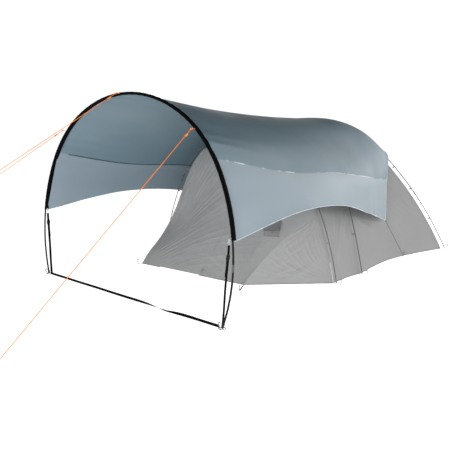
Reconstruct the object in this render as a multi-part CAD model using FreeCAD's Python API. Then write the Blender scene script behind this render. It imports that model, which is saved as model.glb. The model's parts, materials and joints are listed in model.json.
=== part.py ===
"""A hooped sun canopy pitched over a dome tent with a front vestibule.

Lengths are in millimetres and +Z is up. X runs across the hoop and Y runs from the open front of the
canopy back towards the tent. Every y below is measured from the line through the hoop's two feet; the
finished pieces are then moved so that the origin is on the ground, at the middle of the whole footprint.
"""
import FreeCAD, Part
import math
import os

V = FreeCAD.Vector

# ---------------------------------------------------------------- driving dimensions
FOOTPRINT_MIDDLE = (-35.0, 2400.0)    # x and y of the whole footprint's middle, from the hoop's feet
GROUND_CLEARANCE = 10.0        # hems stop this far above the ground

HOOP_HEIGHT = 2100.0
HOOP_LEAN = 3.1                # degrees that the hoop leans back over the tent
FLAT_RADIUS = 1724.0           # top and side arcs of the five-centred arch
SHOULDER_RADIUS = 1300.0
SHOULDER_START = 28.0          # degrees from the top
SHOULDER_END = 62.0
WIDEST = 90.0                  # the legs turn inwards below this angle
POLE_RADIUS = 9.5
POLE_BORE = 7.5
JOINT_ANGLES = (90.0, 58.0, 20.0)
FERRULE_LENGTH = 70.0
FERRULE_WALL = 1.3
SHOCK_CORD_RADIUS = 2.0
SLEEVE_END = 82.0
SLEEVE_HALF_THICKNESS = 15.0
SLEEVE_FRONT = -17.0
SLEEVE_BACK = 48.0
SLEEVE_WALL = 3.0

STRAP_WIDTH = 28.0
STRAP_THICKNESS = 2.0
STRAP_LOW = (18.0, 23.0)       # a leg strap's lower end: inside the pole's foot, and behind it
STRAP_HIGH = (62.0, 5.0)       # its upper end: inside the hoop's widest point, and behind it
TWIST_FROM_TO = (0.57, 0.93)   # where along the ground strap its half twist starts and ends
TWIST_STEPS = 24
RING_RADIUS = 32.0
RING_WIRE = 3.0
BUCKLE_HEIGHT = 640.0
TAIL_LENGTH = 150.0
TAB_HEIGHT = 775.0

GUY_DIAMETER = 6.0
GUY_TABS = {"centre": -1.8, "left": -40.8, "right": 40.8}
GUY_PEGS = {"centre": (-100.0, -3500.0), "left": (-1600.0, -2470.0), "right": (1600.0, -2470.0)}
GUY_START = 43.0               # the line's knot is this far in front of the sleeve, clear of the tab's ring
GUY_END_RUN = 60.0
RUNNER_FROM_TAB = 95.0
PEG_RADIUS = 3.5
PEG_RISE = 62.0

CLOTH = 3.0                    # thickness that stands for the canopy's cloth and its folded seams
CANOPY_START = 52.0            # behind the hoop pole, just clear of the sleeve
CANOPY_ANGLES = (0.0, 20.0, 40.0, 56.0, SLEEVE_END)
# Half sections of the canopy behind the hoop: ridge, upper roof, lower roof, seam and hem.
# Their x is from the ridge, which drifts sideways from the hoop's middle to the tent's.
CANOPY_SECTIONS = (
    ((0, 1150, 1990), (569, 1150, 1888), (1009, 1150, 1632), (1294, 1130, 1312), (1489, 1100, 925)),
    ((0, 2100, 1932), (537, 2100, 1845), (957, 2100, 1590), (1257, 2100, 1258), (1417, 2050, 900)),
    ((0, 3000, 1918), (496, 3000, 1842), (891, 3000, 1552), (1201, 2950, 1168), (1311, 2900, 715)),
    ((0, 3600, 1930), (465, 3600, 1872), (860, 3590, 1570), (1147, 3400, 1112), (1267, 3240, 628)),
    ((0, 3980, 1815), (520, 3990, 1775), (850, 3960, 1530), (1103, 3680, 1085), (1240, 3440, 575)),
    ((0, 4300, 1545), (505, 4320, 1530), (868, 4252, 1412), (1075, 3870, 1062), (1215, 3600, 530)),
)
SEAM_COLUMN = 3
HEM_COLUMN = 4
SEAM_GAP = 0.012               # share of a column left open between two panels
RIDGE_DRIFT_END = 4.0          # the section at which the ridge has reached the tent's middle
CORNER_PEG = (1384.0, 3835.0)  # x is from the tent's middle line
CORNER_CORD_DIAMETER = 5.0

TENT_X = -35.0                 # the tent stands this far off the canopy's middle line
TENT_CLOTH = 2.0
CLOTH_INSET = 40.0             # the tent's cloth hangs from clips this far inside its poles
TENT_POLE_RADIUS = 5.5
DOME_HEIGHT = 1885.0
DOME_CROWN_RADIUS = 1140.0
DOME_CROWN_ANGLE = 44.0
DOME_FRONT = (1465.0, 2540.0)  # half width and y of the front pair of feet
DOME_REAR = (1613.0, 4793.0)
POLE_STEP = 13.0               # one dome pole passes under the other by this much
VESTIBULE_HEIGHT = 1730.0
VESTIBULE_CROWN_RADIUS = 1220.0
VESTIBULE_CROWN_ANGLE = 60.0
VESTIBULE_FOOT = (1459.0, 1949.0)
FRONT_PEG_LEFT = (-1010.0, 1100.0)
FRONT_PEG_RIGHT = (670.0, 1200.0)
FOLD_LEFT_ANGLE = -32.0
FOLD_RIGHT_HEIGHT = 790.0
FOLD_LEFT_SAG = -190.0
FOLD_RIGHT_SAG = 72.0
DOOR_SIDES = (0.2, 0.6)
DOOR_TOP = 0.78
ZIP_CLEARANCE = 21.5
VENT_PLACE = (0.944, 0.525)    # the vent's middle: share across the front and share of the way up
VENT_WIDTH = 178.0
VENT_HEIGHT = 185.0
HOOD_LENGTH = 195.0
HOOD_OPEN = 36.0
HOOD_LIFT = 9.0                # the hood's hinge line stands this far off the cloth
STRUT_LENGTH = 101.0
STRUT_LIFT = 6.0
STRUT_RADIUS = 3.5
APEX_ANGLE = 6.5               # side cloths stop this far from where the poles cross
WALL_SAG = 150.0
INNER_INSET = 120.0


# ---------------------------------------------------------------- shared geometry
def mix(a, b, t):
    return a + (b - a) * t


def polar(centre_x, centre_z, radius, degrees):
    angle = math.radians(degrees)
    return centre_x + radius * math.sin(angle), centre_z + radius * math.cos(angle)


def arc_wire(point, stops):
    """A wire of circular arcs through point(angle) between each two stops."""
    edges = []
    for start, end in zip(stops, stops[1:]):
        arc = Part.Arc(point(start), point((start + end) / 2), point(end))
        edges.append(arc.toShape())
    return Part.Wire(edges)


def swept(profile, wire):
    return wire.makePipeShell([profile], True, False)


def tube(wire, radius):
    """A round bar along a wire, from the wire's own first edge."""
    edge = wire.OrderedEdges[0]
    first = edge.FirstParameter if edge.Orientation == "Forward" else edge.LastParameter
    circle = Part.Circle(edge.valueAt(first), edge.tangentAt(first), radius)
    return swept(Part.Wire([circle.toShape()]), wire)


def pipe(wire, outer, inner):
    return tube(wire, outer).cut(tube(wire, inner))


def rounded_route(points):
    """Straight runs joined by tangent arcs, each as large as its two runs allow."""
    corners = [points[0]]
    edges = []
    radii = []
    for before, here, after in zip(points, points[1:], points[2:]):
        back = before - here
        ahead = after - here
        turn = math.pi - back.getAngle(ahead)
        reach = 0.45 * min(back.Length, ahead.Length)
        radii.append(reach / math.tan(turn / 2))
        start = here + back.normalize() * reach
        end = here + ahead.normalize() * reach
        towards = (back + ahead).normalize()
        centre = here + towards * math.hypot(radii[-1], reach)
        middle = centre - towards * radii[-1]
        edges.append(Part.LineSegment(corners[-1], start).toShape())
        edges.append(Part.Arc(start, middle, end).toShape())
        corners.append(end)
    edges.append(Part.LineSegment(corners[-1], points[-1]).toShape())
    return Part.Wire(edges), radii


def cord(name, points, diameter):
    wire, radii = rounded_route(points)
    solid = tube(wire, diameter / 2)
    expected = math.pi * diameter ** 2 / 4 * wire.Length
    print(name, "length %.0f" % wire.Length, "radii", [round(r) for r in radii],
          "volume ratio %.4f" % (solid.Volume / expected))
    return solid


def bar_between(start, end, width, thickness):
    """A flat strap from start to end; its width lies across the strap, as level as it can."""
    along = end - start
    length = along.Length
    across = V(0, 1, 0) if abs(along.y) < 0.5 * length else V(1, 0, 0)
    across = (across - along * (across.dot(along) / length ** 2)).normalize()
    normal = across.cross(along).normalize()
    corner = start - across * (width / 2) - normal * (thickness / 2)
    outline = [corner, corner + across * width, corner + across * width + normal * thickness,
               corner + normal * thickness, corner]
    return Part.Face(Part.makePolygon(outline)).extrude(along)


def smooth(values, place):
    """A smooth curve through evenly numbered values, at a place between 0 and the last number."""
    index = min(int(place), len(values) - 2)
    t = place - index
    before = values[index - 1] if index > 0 else values[0] * 2 - values[1]
    after = values[index + 2] if index + 2 < len(values) else values[-1] * 2 - values[-2]
    start, end = values[index], values[index + 1]
    bend = before * 2 - start * 5 + end * 4 - after
    twist = (start - end) * 3 + after - before
    return start + ((end - before) * t + bend * t ** 2 + twist * t ** 3) * 0.5


def cloth(point, us, vs, steps, thickness):
    """A closed sheet on both sides of the surface point(u, v)."""
    def place(i, j):
        return point(mix(us[0], us[1], i / steps[0]), mix(vs[0], vs[1], j / steps[1]))

    grid = [[place(i, j) for j in range(steps[1] + 1)] for i in range(steps[0] + 1)]
    sides = ([], [])
    for i in range(steps[0] + 1):
        rows = ([], [])
        for j in range(steps[1] + 1):
            along = grid[min(i + 1, steps[0])][j] - grid[max(i - 1, 0)][j]
            across = grid[i][min(j + 1, steps[1])] - grid[i][max(j - 1, 0)]
            normal = along.cross(across).normalize() * (thickness / 2)
            rows[0].append(grid[i][j] + normal)
            rows[1].append(grid[i][j] - normal)
        sides[0].append(rows[0])
        sides[1].append(rows[1])
    knots = [list(range(count - 1)) for count in steps]
    mults = [[4] + [1] * (count - 3) + [4] for count in steps]
    surfaces = []
    for side in sides:
        surface = Part.BSplineSurface()
        surface.buildFromPolesMultsKnots(side, mults[0], mults[1], knots[0], knots[1], False, False, 3, 3)
        surfaces.append(surface)
    faces = [surface.toShape() for surface in surfaces]
    outer, inner = surfaces
    u0, u1, v0, v1 = outer.bounds()
    for curve in ((outer.uIso(u0), inner.uIso(u0)), (outer.uIso(u1), inner.uIso(u1)),
                  (outer.vIso(v0), inner.vIso(v0)), (outer.vIso(v1), inner.vIso(v1))):
        faces.append(Part.makeRuledSurface(curve[0].toShape(), curve[1].toShape()))
    shell = Part.makeShell(faces)
    shell.sewShape()
    solid = Part.makeSolid(shell)
    if solid.Volume < 0:
        solid.reverse()
    return solid


def hooked_peg(x, y, away):
    """A bent steel peg from its hook down to the ground line; away is the level way it leans."""
    lean = away * (PEG_RISE * 0.5)
    foot = V(x, y, PEG_RADIUS * 0.6)
    neck = foot + lean + V(0, 0, PEG_RISE)
    tip = neck - away * 24 + V(0, 0, 6)
    drop = tip - away * 4 - V(0, 0, 16)
    wire, _ = rounded_route([foot, neck, tip, drop])
    bar = tube(wire, PEG_RADIUS)
    below = Part.makeBox(80, 80, 40, V(x - 40, y - 40, -40))
    return bar.cut(below)


# ---------------------------------------------------------------- hoop and tent arches
class Hoop:
    """A five-centred arch in the plane y = 0, with legs that turn inwards; angles run from the top."""

    def __init__(self):
        step = FLAT_RADIUS - SHOULDER_RADIUS
        top = (0.0, HOOP_HEIGHT - FLAT_RADIUS, FLAT_RADIUS)
        shoulder = (*polar(top[0], top[1], step, SHOULDER_START), SHOULDER_RADIUS)
        side = (*polar(shoulder[0], shoulder[1], -step, SHOULDER_END), FLAT_RADIUS)
        self.half_width = side[0] + FLAT_RADIUS
        self.leg = (0.0, side[1], self.half_width)
        self.arcs = ((SHOULDER_START, top), (SHOULDER_END, shoulder), (WIDEST, side), (180.0, self.leg))

    def point(self, angle, out=0.0, y=0.0):
        x, z, radius = next(arc for limit, arc in self.arcs if abs(angle) <= limit)
        px, pz = polar(x, z, radius + out, abs(angle))
        return V(math.copysign(px, angle), y, pz)

    def foot_angle(self, height):
        return math.degrees(math.acos((height - self.leg[1]) / self.leg[2]))

    def wire(self, start, end):
        bends = [limit * side for limit in (SHOULDER_START, SHOULDER_END, WIDEST) for side in (-1, 1)]
        stops = [start] + sorted(b for b in bends if start + 0.01 < b < end - 0.01) + [end]
        return arc_wire(self.point, stops)


class Arch:
    """A tent pole between two feet: a round crown with a flatter leg on each side, tangent to it."""

    def __init__(self, foot_a, foot_b, height, crown_radius, crown_angle):
        half_span = foot_a.distanceToPoint(foot_b) / 2
        self.middle = (foot_a + foot_b) * 0.5
        self.heading = (foot_b - foot_a).normalize()
        end_x, end_z = polar(0.0, height - crown_radius, crown_radius, crown_angle)
        chord = math.degrees(math.atan2(end_z, half_span - end_x))
        self.foot_angle = 2 * chord - crown_angle
        turn = math.sin(math.radians(self.foot_angle)) - math.sin(math.radians(crown_angle))
        leg_radius = (half_span - end_x) / turn
        leg_x, leg_z = polar(end_x, end_z, -leg_radius, crown_angle)
        self.crown_angle = crown_angle
        self.crown = (0.0, height - crown_radius, crown_radius)
        self.leg = (leg_x, leg_z, leg_radius)

    def point(self, angle, out=0.0):
        x, z, radius = self.crown if abs(angle) <= self.crown_angle else self.leg
        span, height = polar(x, z, radius + out, abs(angle))
        return self.middle + self.heading * math.copysign(span, angle) + V(0, 0, height)

    def angle_at_height(self, height, out=0.0):
        return math.degrees(math.acos((height - self.leg[1]) / (self.leg[2] + out)))

    def wire(self, start, end):
        bends = [b for b in (-self.crown_angle, self.crown_angle) if start + 0.01 < b < end - 0.01]
        return arc_wire(self.point, [start] + bends + [end])


def foot(half_width, y, side):
    return V(TENT_X + side * half_width, y, 0)


HOOP = Hoop()
DOME_A = Arch(foot(*DOME_REAR, -1), foot(*DOME_FRONT, 1), DOME_HEIGHT - POLE_STEP, DOME_CROWN_RADIUS,
              DOME_CROWN_ANGLE)
DOME_B = Arch(foot(*DOME_FRONT, -1), foot(*DOME_REAR, 1), DOME_HEIGHT, DOME_CROWN_RADIUS, DOME_CROWN_ANGLE)
VESTIBULE = Arch(foot(*VESTIBULE_FOOT, -1), foot(*VESTIBULE_FOOT, 1), VESTIBULE_HEIGHT,
                 VESTIBULE_CROWN_RADIUS, VESTIBULE_CROWN_ANGLE)
# Where the two dome poles cross, as an angle on each of them.
CROSSING = math.degrees(math.asin((TENT_X - DOME_A.middle.x) / DOME_A.heading.x / DOME_CROWN_RADIUS))


def leaned(shape):
    turned = shape.copy()
    turned.rotate(V(0, 0, 0), V(1, 0, 0), -HOOP_LEAN)
    return turned


def lean_point(point):
    return FreeCAD.Rotation(V(1, 0, 0), -HOOP_LEAN).multVec(point)


# ---------------------------------------------------------------- the hoop
def hoop_poles():
    """Seven pole sections, the ferrules over their joints and the elastic cord that strings them."""
    end = HOOP.foot_angle(12.0)
    stops = [-end] + [-a for a in JOINT_ANGLES] + [a for a in reversed(JOINT_ANGLES)] + [end]
    names = ("leg_left", "side_left", "shoulder_left", "top", "shoulder_right", "side_right", "leg_right")
    parts = {}
    for name, start, stop in zip(names, stops, stops[1:]):
        parts["hoop_pole_" + name] = pipe(HOOP.wire(start, stop), POLE_RADIUS, POLE_BORE)
    ferrules = []
    for angle in JOINT_ANGLES:
        half = math.degrees(FERRULE_LENGTH / 2 / FLAT_RADIUS)
        for side in (-1, 1):
            wire = HOOP.wire(side * angle - half, side * angle + half)
            ferrules.append(pipe(wire, POLE_RADIUS + FERRULE_WALL, POLE_RADIUS))
    parts["hoop_pole_ferrules"] = Part.makeCompound(ferrules)
    parts["hoop_shock_cord"] = tube(HOOP.wire(-end, end), SHOCK_CORD_RADIUS)
    low, high = HOOP.foot_angle(6.0), HOOP.foot_angle(46.0)
    caps = []
    for side in (-1, 1):
        outer = tube(HOOP.wire(*sorted((side * low, side * high))), POLE_RADIUS + 2.5)
        caps.append(outer.cut(tube(HOOP.wire(*sorted((side * end, side * 105.0))), POLE_RADIUS)))
    parts["hoop_foot_caps"] = Part.makeCompound(caps)
    return parts


def sleeve_profile(shrink):
    """The sleeve's oval outline across the pole at its left end, made smaller by shrink all round."""
    start = HOOP.point(-SLEEVE_END)
    out = (HOOP.point(-SLEEVE_END, 1.0) - start).normalize()
    half = SLEEVE_HALF_THICKNESS
    front, back = SLEEVE_FRONT + half, SLEEVE_BACK - half
    half -= shrink

    def corner(radial, y):
        return start + out * radial + V(0, y, 0)

    return Part.Wire([
        Part.LineSegment(corner(half, front), corner(half, back)).toShape(),
        Part.Arc(corner(half, back), corner(0, back + half), corner(-half, back)).toShape(),
        Part.LineSegment(corner(-half, back), corner(-half, front)).toShape(),
        Part.Arc(corner(-half, front), corner(0, front - half), corner(half, front)).toShape(),
    ])


def hoop_sleeve():
    """A flat cloth sleeve with rounded edges, open at both ends for the pole."""
    line = HOOP.wire(-SLEEVE_END, SLEEVE_END)
    return swept(sleeve_profile(0.0), line).cut(swept(sleeve_profile(SLEEVE_WALL), line))


def strap_line(side):
    """Ends of a leg strap: above the foot ring and at the canopy's tab, in the hoop's upright plane."""
    foot_x = HOOP.point(HOOP.foot_angle(0.0)).x
    low = V(side * (foot_x - STRAP_LOW[0]), STRAP_LOW[1], 11.0)
    return low, V(side * (HOOP.half_width - STRAP_HIGH[0]), STRAP_HIGH[1], TAB_HEIGHT - 28.0)


def leg_buckle(side):
    """A ladder-lock buckle that the leg strap runs through, with two windows between its bars."""
    low, high = strap_line(side)
    along = (high - low).normalize()
    centre = low + along * (BUCKLE_HEIGHT - low.z)
    block = bar_between(centre - along * 21, centre + along * 21, STRAP_WIDTH + 10, 11.0)
    slot_width, slot_depth = STRAP_WIDTH + 1.2, STRAP_THICKNESS + 1.2
    block = block.cut(bar_between(centre - along * 30, centre + along * 30, slot_width, slot_depth))
    for shift in (-10.0, 10.0):
        middle = centre + along * shift
        block = block.cut(bar_between(middle - along * 5, middle + along * 5, slot_width, 20.0))
    return block


def leg_tail(side):
    """The strap's free end, folded down from the buckle."""
    low, high = strap_line(side)
    along = (high - low).normalize()
    inward = V(-side * 3.9, 0, 0)
    top = low + along * (BUCKLE_HEIGHT - low.z - 21.3) + inward
    return bar_between(top - along * TAIL_LENGTH, top, STRAP_WIDTH, STRAP_THICKNESS)


def leg_straps():
    straps, tabs = [], []
    for side in (-1, 1):
        low, high = strap_line(side)
        along = (high - low).normalize()
        straps.append(bar_between(low, high, STRAP_WIDTH, STRAP_THICKNESS))
        ring = Part.makeTorus(13.0, 2.0, high + along * 15.6, V(0, 1, 0))
        sewn = bar_between(high + along * 31, high + along * 57, 21.0, 2.5)
        tabs += [ring, sewn]
    return Part.makeCompound(straps), Part.makeCompound(tabs)


def ground_fittings():
    """Foot rings, their pegs and the strap that keeps the two feet at their distance."""
    rings, pegs = [], []
    foot_x = HOOP.point(HOOP.foot_angle(0.0)).x
    for side in (-1, 1):
        rings.append(Part.makeTorus(RING_RADIUS, RING_WIRE, V(side * foot_x, 0, RING_WIRE)))
        pegs.append(hooked_peg(side * foot_x, -22.0, V(0, -1, 0)))
    return {"hoop_foot_rings": Part.makeCompound(rings), "hoop_foot_pegs": Part.makeCompound(pegs),
            "ground_strap": ground_strap()}


def ground_strap():
    """The strap between the feet stands on its edge and has one half twist, where it lies flat."""
    half = HOOP.point(HOOP.foot_angle(0.0)).x - RING_RADIUS - RING_WIRE - 0.6
    start, end = TWIST_FROM_TO
    shares = [mix(start, end, step / TWIST_STEPS) for step in range(TWIST_STEPS + 1)]
    straight = [(0.0, 0.0), (start / 2, 0.0)]
    straight_after = [((1 + end) / 2, 1.0), (1.0, 1.0)]
    twist = [(share, (share - start) / (end - start)) for share in shares]
    outlines = []
    for share, t in straight + twist + straight_after:
        turn = math.radians(90 + 180 * t * t * (3 - 2 * t))
        wide = V(0, math.cos(turn), math.sin(turn)) * (STRAP_WIDTH / 2)
        thick = V(0, -math.sin(turn), math.cos(turn)) * (STRAP_THICKNESS / 2)
        centre = V(mix(-half, half, share), 0, abs(wide.z) + abs(thick.z) + 0.5)
        below, above = centre - thick, centre + thick
        corners = [below - wide, below + wide, above + wide, above - wide]
        outlines.append(Part.makePolygon(corners + corners[:1]))
    return Part.makeLoft(outlines, True, True)


# ---------------------------------------------------------------- guylines
def guy_ends(name):
    """Where a guyline starts, at its tab's ring, and where it ends, under its peg's hook."""
    angle = GUY_TABS[name]
    start = lean_point(HOOP.point(angle, 0, SLEEVE_FRONT - GUY_START))
    x, y = GUY_PEGS[name]
    return start, V(x, y, 42.0)


def guy_axis(name):
    start, end = guy_ends(name)
    return (end - start).normalize()


def guyline(name):
    start, end = guy_ends(name)
    along = (end - start).normalize()
    sag = V(0, 0, -3.0)
    points = [start, start + along * GUY_END_RUN + sag, end - along * GUY_END_RUN + sag, end]
    return cord("guyline_" + name, points, GUY_DIAMETER)


def guy_runner(name):
    """A tensioner: a short flat bar with the line running through it lengthways."""
    start, end = guy_ends(name)
    along = guy_axis(name)
    centre = start + along * RUNNER_FROM_TAB + V(0, 0, -3.0)
    body = bar_between(centre - along * 17, centre + along * 17, 16.0, 10.0)
    hole = Part.makeCylinder(GUY_DIAMETER / 2 + 0.5, 60, centre - along * 30, along)
    return body.cut(hole)


def guy_fittings():
    tabs, pegs = [], []
    for name, angle in GUY_TABS.items():
        root = HOOP.point(angle, 0, SLEEVE_FRONT - 0.2)
        tip = HOOP.point(angle, 0, SLEEVE_FRONT - 20)
        tabs.append(leaned(bar_between(root, tip, 18.0, 2.0)))
        ring_centre = HOOP.point(angle, 0, SLEEVE_FRONT - 29)
        outward = HOOP.point(angle, 1) - HOOP.point(angle)
        tabs.append(leaned(Part.makeTorus(7.0, 1.6, ring_centre, outward)))
        x, y = GUY_PEGS[name]
        away = V(guy_axis(name).x, guy_axis(name).y, 0).normalize()
        pegs.append(hooked_peg(x, y, away))
    return Part.makeCompound(tabs), Part.makeCompound(pegs)


# ---------------------------------------------------------------- canopy
def canopy_point(station, column):
    """The canopy's middle surface: station 0 is at the hoop, column 0 the ridge, minus is the left side."""
    drift = TENT_X * min(station / RIDGE_DRIFT_END, 1.0)
    side = -1 if column < 0 else 1
    columns = []
    for number, angle in enumerate(CANOPY_ANGLES):
        line = [lean_point(HOOP.point(angle, 0, CANOPY_START))]
        line += [V(*section[number]) for section in CANOPY_SECTIONS]
        columns.append(line)
    at_station = [smooth(line, station) for line in columns]
    mirrored = [V(-p.x, p.y, p.z) for p in reversed(at_station[1:])]
    point = smooth(mirrored + at_station, abs(column) + HEM_COLUMN)
    return V(side * point.x + drift, point.y, point.z)


def canopy_panels():
    last = float(len(CANOPY_SECTIONS))
    hem, seam, gap = HEM_COLUMN, SEAM_COLUMN, SEAM_GAP
    return {
        "canopy_roof_panel": cloth(canopy_point, (0, last), (-seam + gap, seam - gap), (24, 18), CLOTH),
        "canopy_side_panel_left": cloth(canopy_point, (0, last), (-hem, -seam - gap), (24, 4), CLOTH),
        "canopy_side_panel_right": cloth(canopy_point, (0, last), (seam + gap, hem), (24, 4), CLOTH),
    }


def corner_point(side):
    corner = canopy_point(len(CANOPY_SECTIONS), side * HEM_COLUMN)
    peg = V(TENT_X + side * CORNER_PEG[0], CORNER_PEG[1], 40.0)
    return corner, peg, (peg - corner).normalize()


def corner_parts():
    """The eyelet rings at the canopy's rear corners, their cords and their pegs."""
    eyelets, pegs = [], []
    parts = {}
    for side, word in ((-1, "left"), (1, "right")):
        corner, peg, along = corner_point(side)
        eyelets.append(Part.makeTorus(9.0, 2.0, corner + along * 14, V(0, 1, 0)))
        start = corner + along * 26
        end = peg - along * 5
        run = (end - start).Length / 3
        slack = V(side * 4.0, 0, -5.0)
        points = [start, start + along * run + slack, start + along * run * 2 + slack * 1.2, end]
        parts["corner_cord_" + word] = cord("corner_cord_" + word, points, CORNER_CORD_DIAMETER)
        pegs.append(hooked_peg(peg.x, peg.y, V(along.x, along.y, 0).normalize()))
    parts["canopy_corner_rings"] = Part.makeCompound(eyelets)
    parts["corner_pegs"] = Part.makeCompound(pegs)
    return parts


# ---------------------------------------------------------------- tent poles
def tent_poles():
    """Each pole as three sections, the ferrules over its joints, and the clips that hold the cloth."""
    arches = {"dome_pole_a": DOME_A, "dome_pole_b": DOME_B, "vestibule_pole": VESTIBULE}
    parts, ferrules, clips = {}, [], []
    for name, arch in arches.items():
        end = arch.angle_at_height(8.0)
        crown = arch.crown_angle
        stops = (-end, -crown, crown, end)
        sections = [tube(arch.wire(a, b), TENT_POLE_RADIUS) for a, b in zip(stops, stops[1:])]
        parts[name] = Part.makeCompound(sections)
        for side in (-1, 1):
            half = math.degrees(30.0 / arch.crown[2])
            middle = side * (crown + end) / 2
            quarter = math.degrees(30.0 / arch.leg[2])
            shoulder = (side * crown - half, side * crown + half)
            for low, high in (shoulder, (middle - quarter, middle + quarter)):
                ferrules.append(pipe(arch.wire(low, high), TENT_POLE_RADIUS + 1.2, TENT_POLE_RADIUS))
            for height in (470.0, 910.0, 1230.0):
                clips.append(pole_clip(arch, side * clip_angle(arch, height)))
    parts["tent_pole_ferrules"] = Part.makeCompound(ferrules)
    parts["pole_clips"] = Part.makeCompound(clips)
    return parts


def clip_angle(arch, height):
    crown_end = arch.point(arch.crown_angle).z
    if height < crown_end:
        return arch.angle_at_height(height)
    return math.degrees(math.acos((height - arch.crown[1]) / arch.crown[2]))


def pole_clip(arch, angle):
    """A plastic ring round the pole with a web reaching in to the cloth."""
    here = arch.point(angle)
    inward = (arch.point(angle, -1.0) - here).normalize()
    along = inward.cross(V(-arch.heading.y, arch.heading.x, 0)).normalize()
    ring = Part.makeCylinder(TENT_POLE_RADIUS + 3, 16, here - along * 8, along)
    web = bar_between(here - along * 7, here + along * 7, 5.0, 2 * (CLOTH_INSET - 4))
    web = web.common(Part.makeCylinder(CLOTH_INSET - 4, 14, here - along * 7, along))
    half_space = Part.makeBox(200, 200, 200, V(-100, -100, 0))
    half_space.Placement = FreeCAD.Placement(here, FreeCAD.Rotation(V(0, 0, 1), inward))
    web = web.common(half_space)
    bore = Part.makeCylinder(TENT_POLE_RADIUS + 0.4, 40, here - along * 20, along)
    return ring.fuse(web).cut(bore)


# ---------------------------------------------------------------- tent cloth
class Half:
    """Half of a tent arch as a curve from its foot at 0 to its upper end at 1, inset to the cloth."""

    def __init__(self, arch, side, top, inset):
        self.arch = arch
        self.inset = inset
        self.low = side * arch.angle_at_height(GROUND_CLEARANCE, -inset)
        self.top = top

    def point(self, t):
        return self.arch.point(mix(self.low, self.top, t), -self.inset)


def wall(first, second, sag):
    """A surface between two half arches that sags towards the tent's middle."""
    middle = V(TENT_X, 3600.0, 0)

    def point(u, t):
        place = mix(first.point(t), second.point(t), u)
        inward = middle - V(place.x, place.y, 0)
        return place + inward.normalize() * (sag * 4 * u * (1 - u) * (1 - t) ** 1.5)

    return point


def dome_halves(inset, apex):
    """The four legs of the dome, each running up to where the poles cross."""
    under_b = inset + POLE_STEP
    return {
        "front_right": Half(DOME_A, 1, CROSSING + apex, inset),
        "rear_left": Half(DOME_A, -1, CROSSING - apex, inset),
        "rear_right": Half(DOME_B, 1, -CROSSING + apex, under_b),
        "front_left": Half(DOME_B, -1, -CROSSING - apex, under_b),
    }


def side_cloths():
    """Dome walls right, rear and left, the cloths between vestibule and dome, and the crown patch."""
    legs = dome_halves(CLOTH_INSET, APEX_ANGLE)
    tips = dome_halves(CLOTH_INSET, 0.35)
    margin = (0.004, 0.996)
    walls = {"right": ("front_right", "rear_right"), "rear": ("rear_right", "rear_left"),
             "left": ("rear_left", "front_left")}
    parts = {}
    for word, (first, second) in walls.items():
        surface = wall(legs[first], legs[second], WALL_SAG)
        parts["dome_wall_" + word] = cloth(surface, margin, (0, 1), (8, 12), TENT_CLOTH)
    for side, word in ((1, "right"), (-1, "left")):
        hoop_half = Half(VESTIBULE, side, side * 0.12, CLOTH_INSET)
        between = wall(hoop_half, tips["front_" + word], 25.0)
        parts["flysheet_side_" + word] = cloth(between, (0.01, 0.985), (0, 1), (6, 12), TENT_CLOTH)
    crown = DOME_A.point(CROSSING, -CLOTH_INSET) + V(0, 0, 7.0)
    parts["crown_patch"] = Part.makeCylinder(140.0, 2.0, crown)
    return parts


def front_point(s, v):
    """The vestibule's front: s runs from the left fold to the right fold, v from the ground to the pole."""
    left = V(*FRONT_PEG_LEFT, GROUND_CLEARANCE)
    right = V(*FRONT_PEG_RIGHT, GROUND_CLEARANCE)
    last = VESTIBULE.angle_at_height(FOLD_RIGHT_HEIGHT, -CLOTH_INSET)
    top = VESTIBULE.point(mix(FOLD_LEFT_ANGLE, last, s), -CLOTH_INSET) - V(0, 6, 0)
    even = 4 * v * (1 - v)
    bulge = FOLD_LEFT_SAG * even ** 3 * (1 - s) ** 2 + FOLD_RIGHT_SAG * even * s
    return mix(mix(left, right, s), top, v) + V(0, -0.55, 0.83) * bulge


def front_normal(s, v):
    across = front_point(s + 0.01, v) - front_point(s - 0.01, v)
    up = front_point(s, v + 0.01) - front_point(s, v - 0.01)
    return across.cross(up).normalize()


def wing_point(side):
    """A vestibule wing: u runs from the front fold to the pole, v from the ground to where they meet."""
    fold = 0.0 if side < 0 else 1.0
    low = VESTIBULE.angle_at_height(GROUND_CLEARANCE, -CLOTH_INSET)
    high = -FOLD_LEFT_ANGLE if side < 0 else VESTIBULE.angle_at_height(FOLD_RIGHT_HEIGHT, -CLOTH_INSET)

    def point(u, v):
        pole = VESTIBULE.point(side * mix(low, high, v), -CLOTH_INSET) - V(0, 6, 0)
        return mix(front_point(fold, v), pole, u)

    return point


def vent_frame():
    """The vent's middle, its outward normal, its level direction and the direction down the cloth."""
    middle = front_point(*VENT_PLACE)
    out = front_normal(*VENT_PLACE)
    level = V(0, 0, 1).cross(out).normalize()
    return middle, out, level, level.cross(out)


def vent_plate(margin, low, high):
    """A flat block in the vent's outline, smaller by margin, between two distances from the cloth."""
    middle, out, level, down = vent_frame()
    across = level * (VENT_WIDTH / 2 - margin)
    along = down * (VENT_HEIGHT / 2 - margin)
    centre = middle + out * low
    outline = [centre - across - along, centre + across - along, centre + across + along,
               centre - across + along, centre - across - along]
    return Part.Face(Part.makePolygon(outline)).extrude(out * (high - low))


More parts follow.
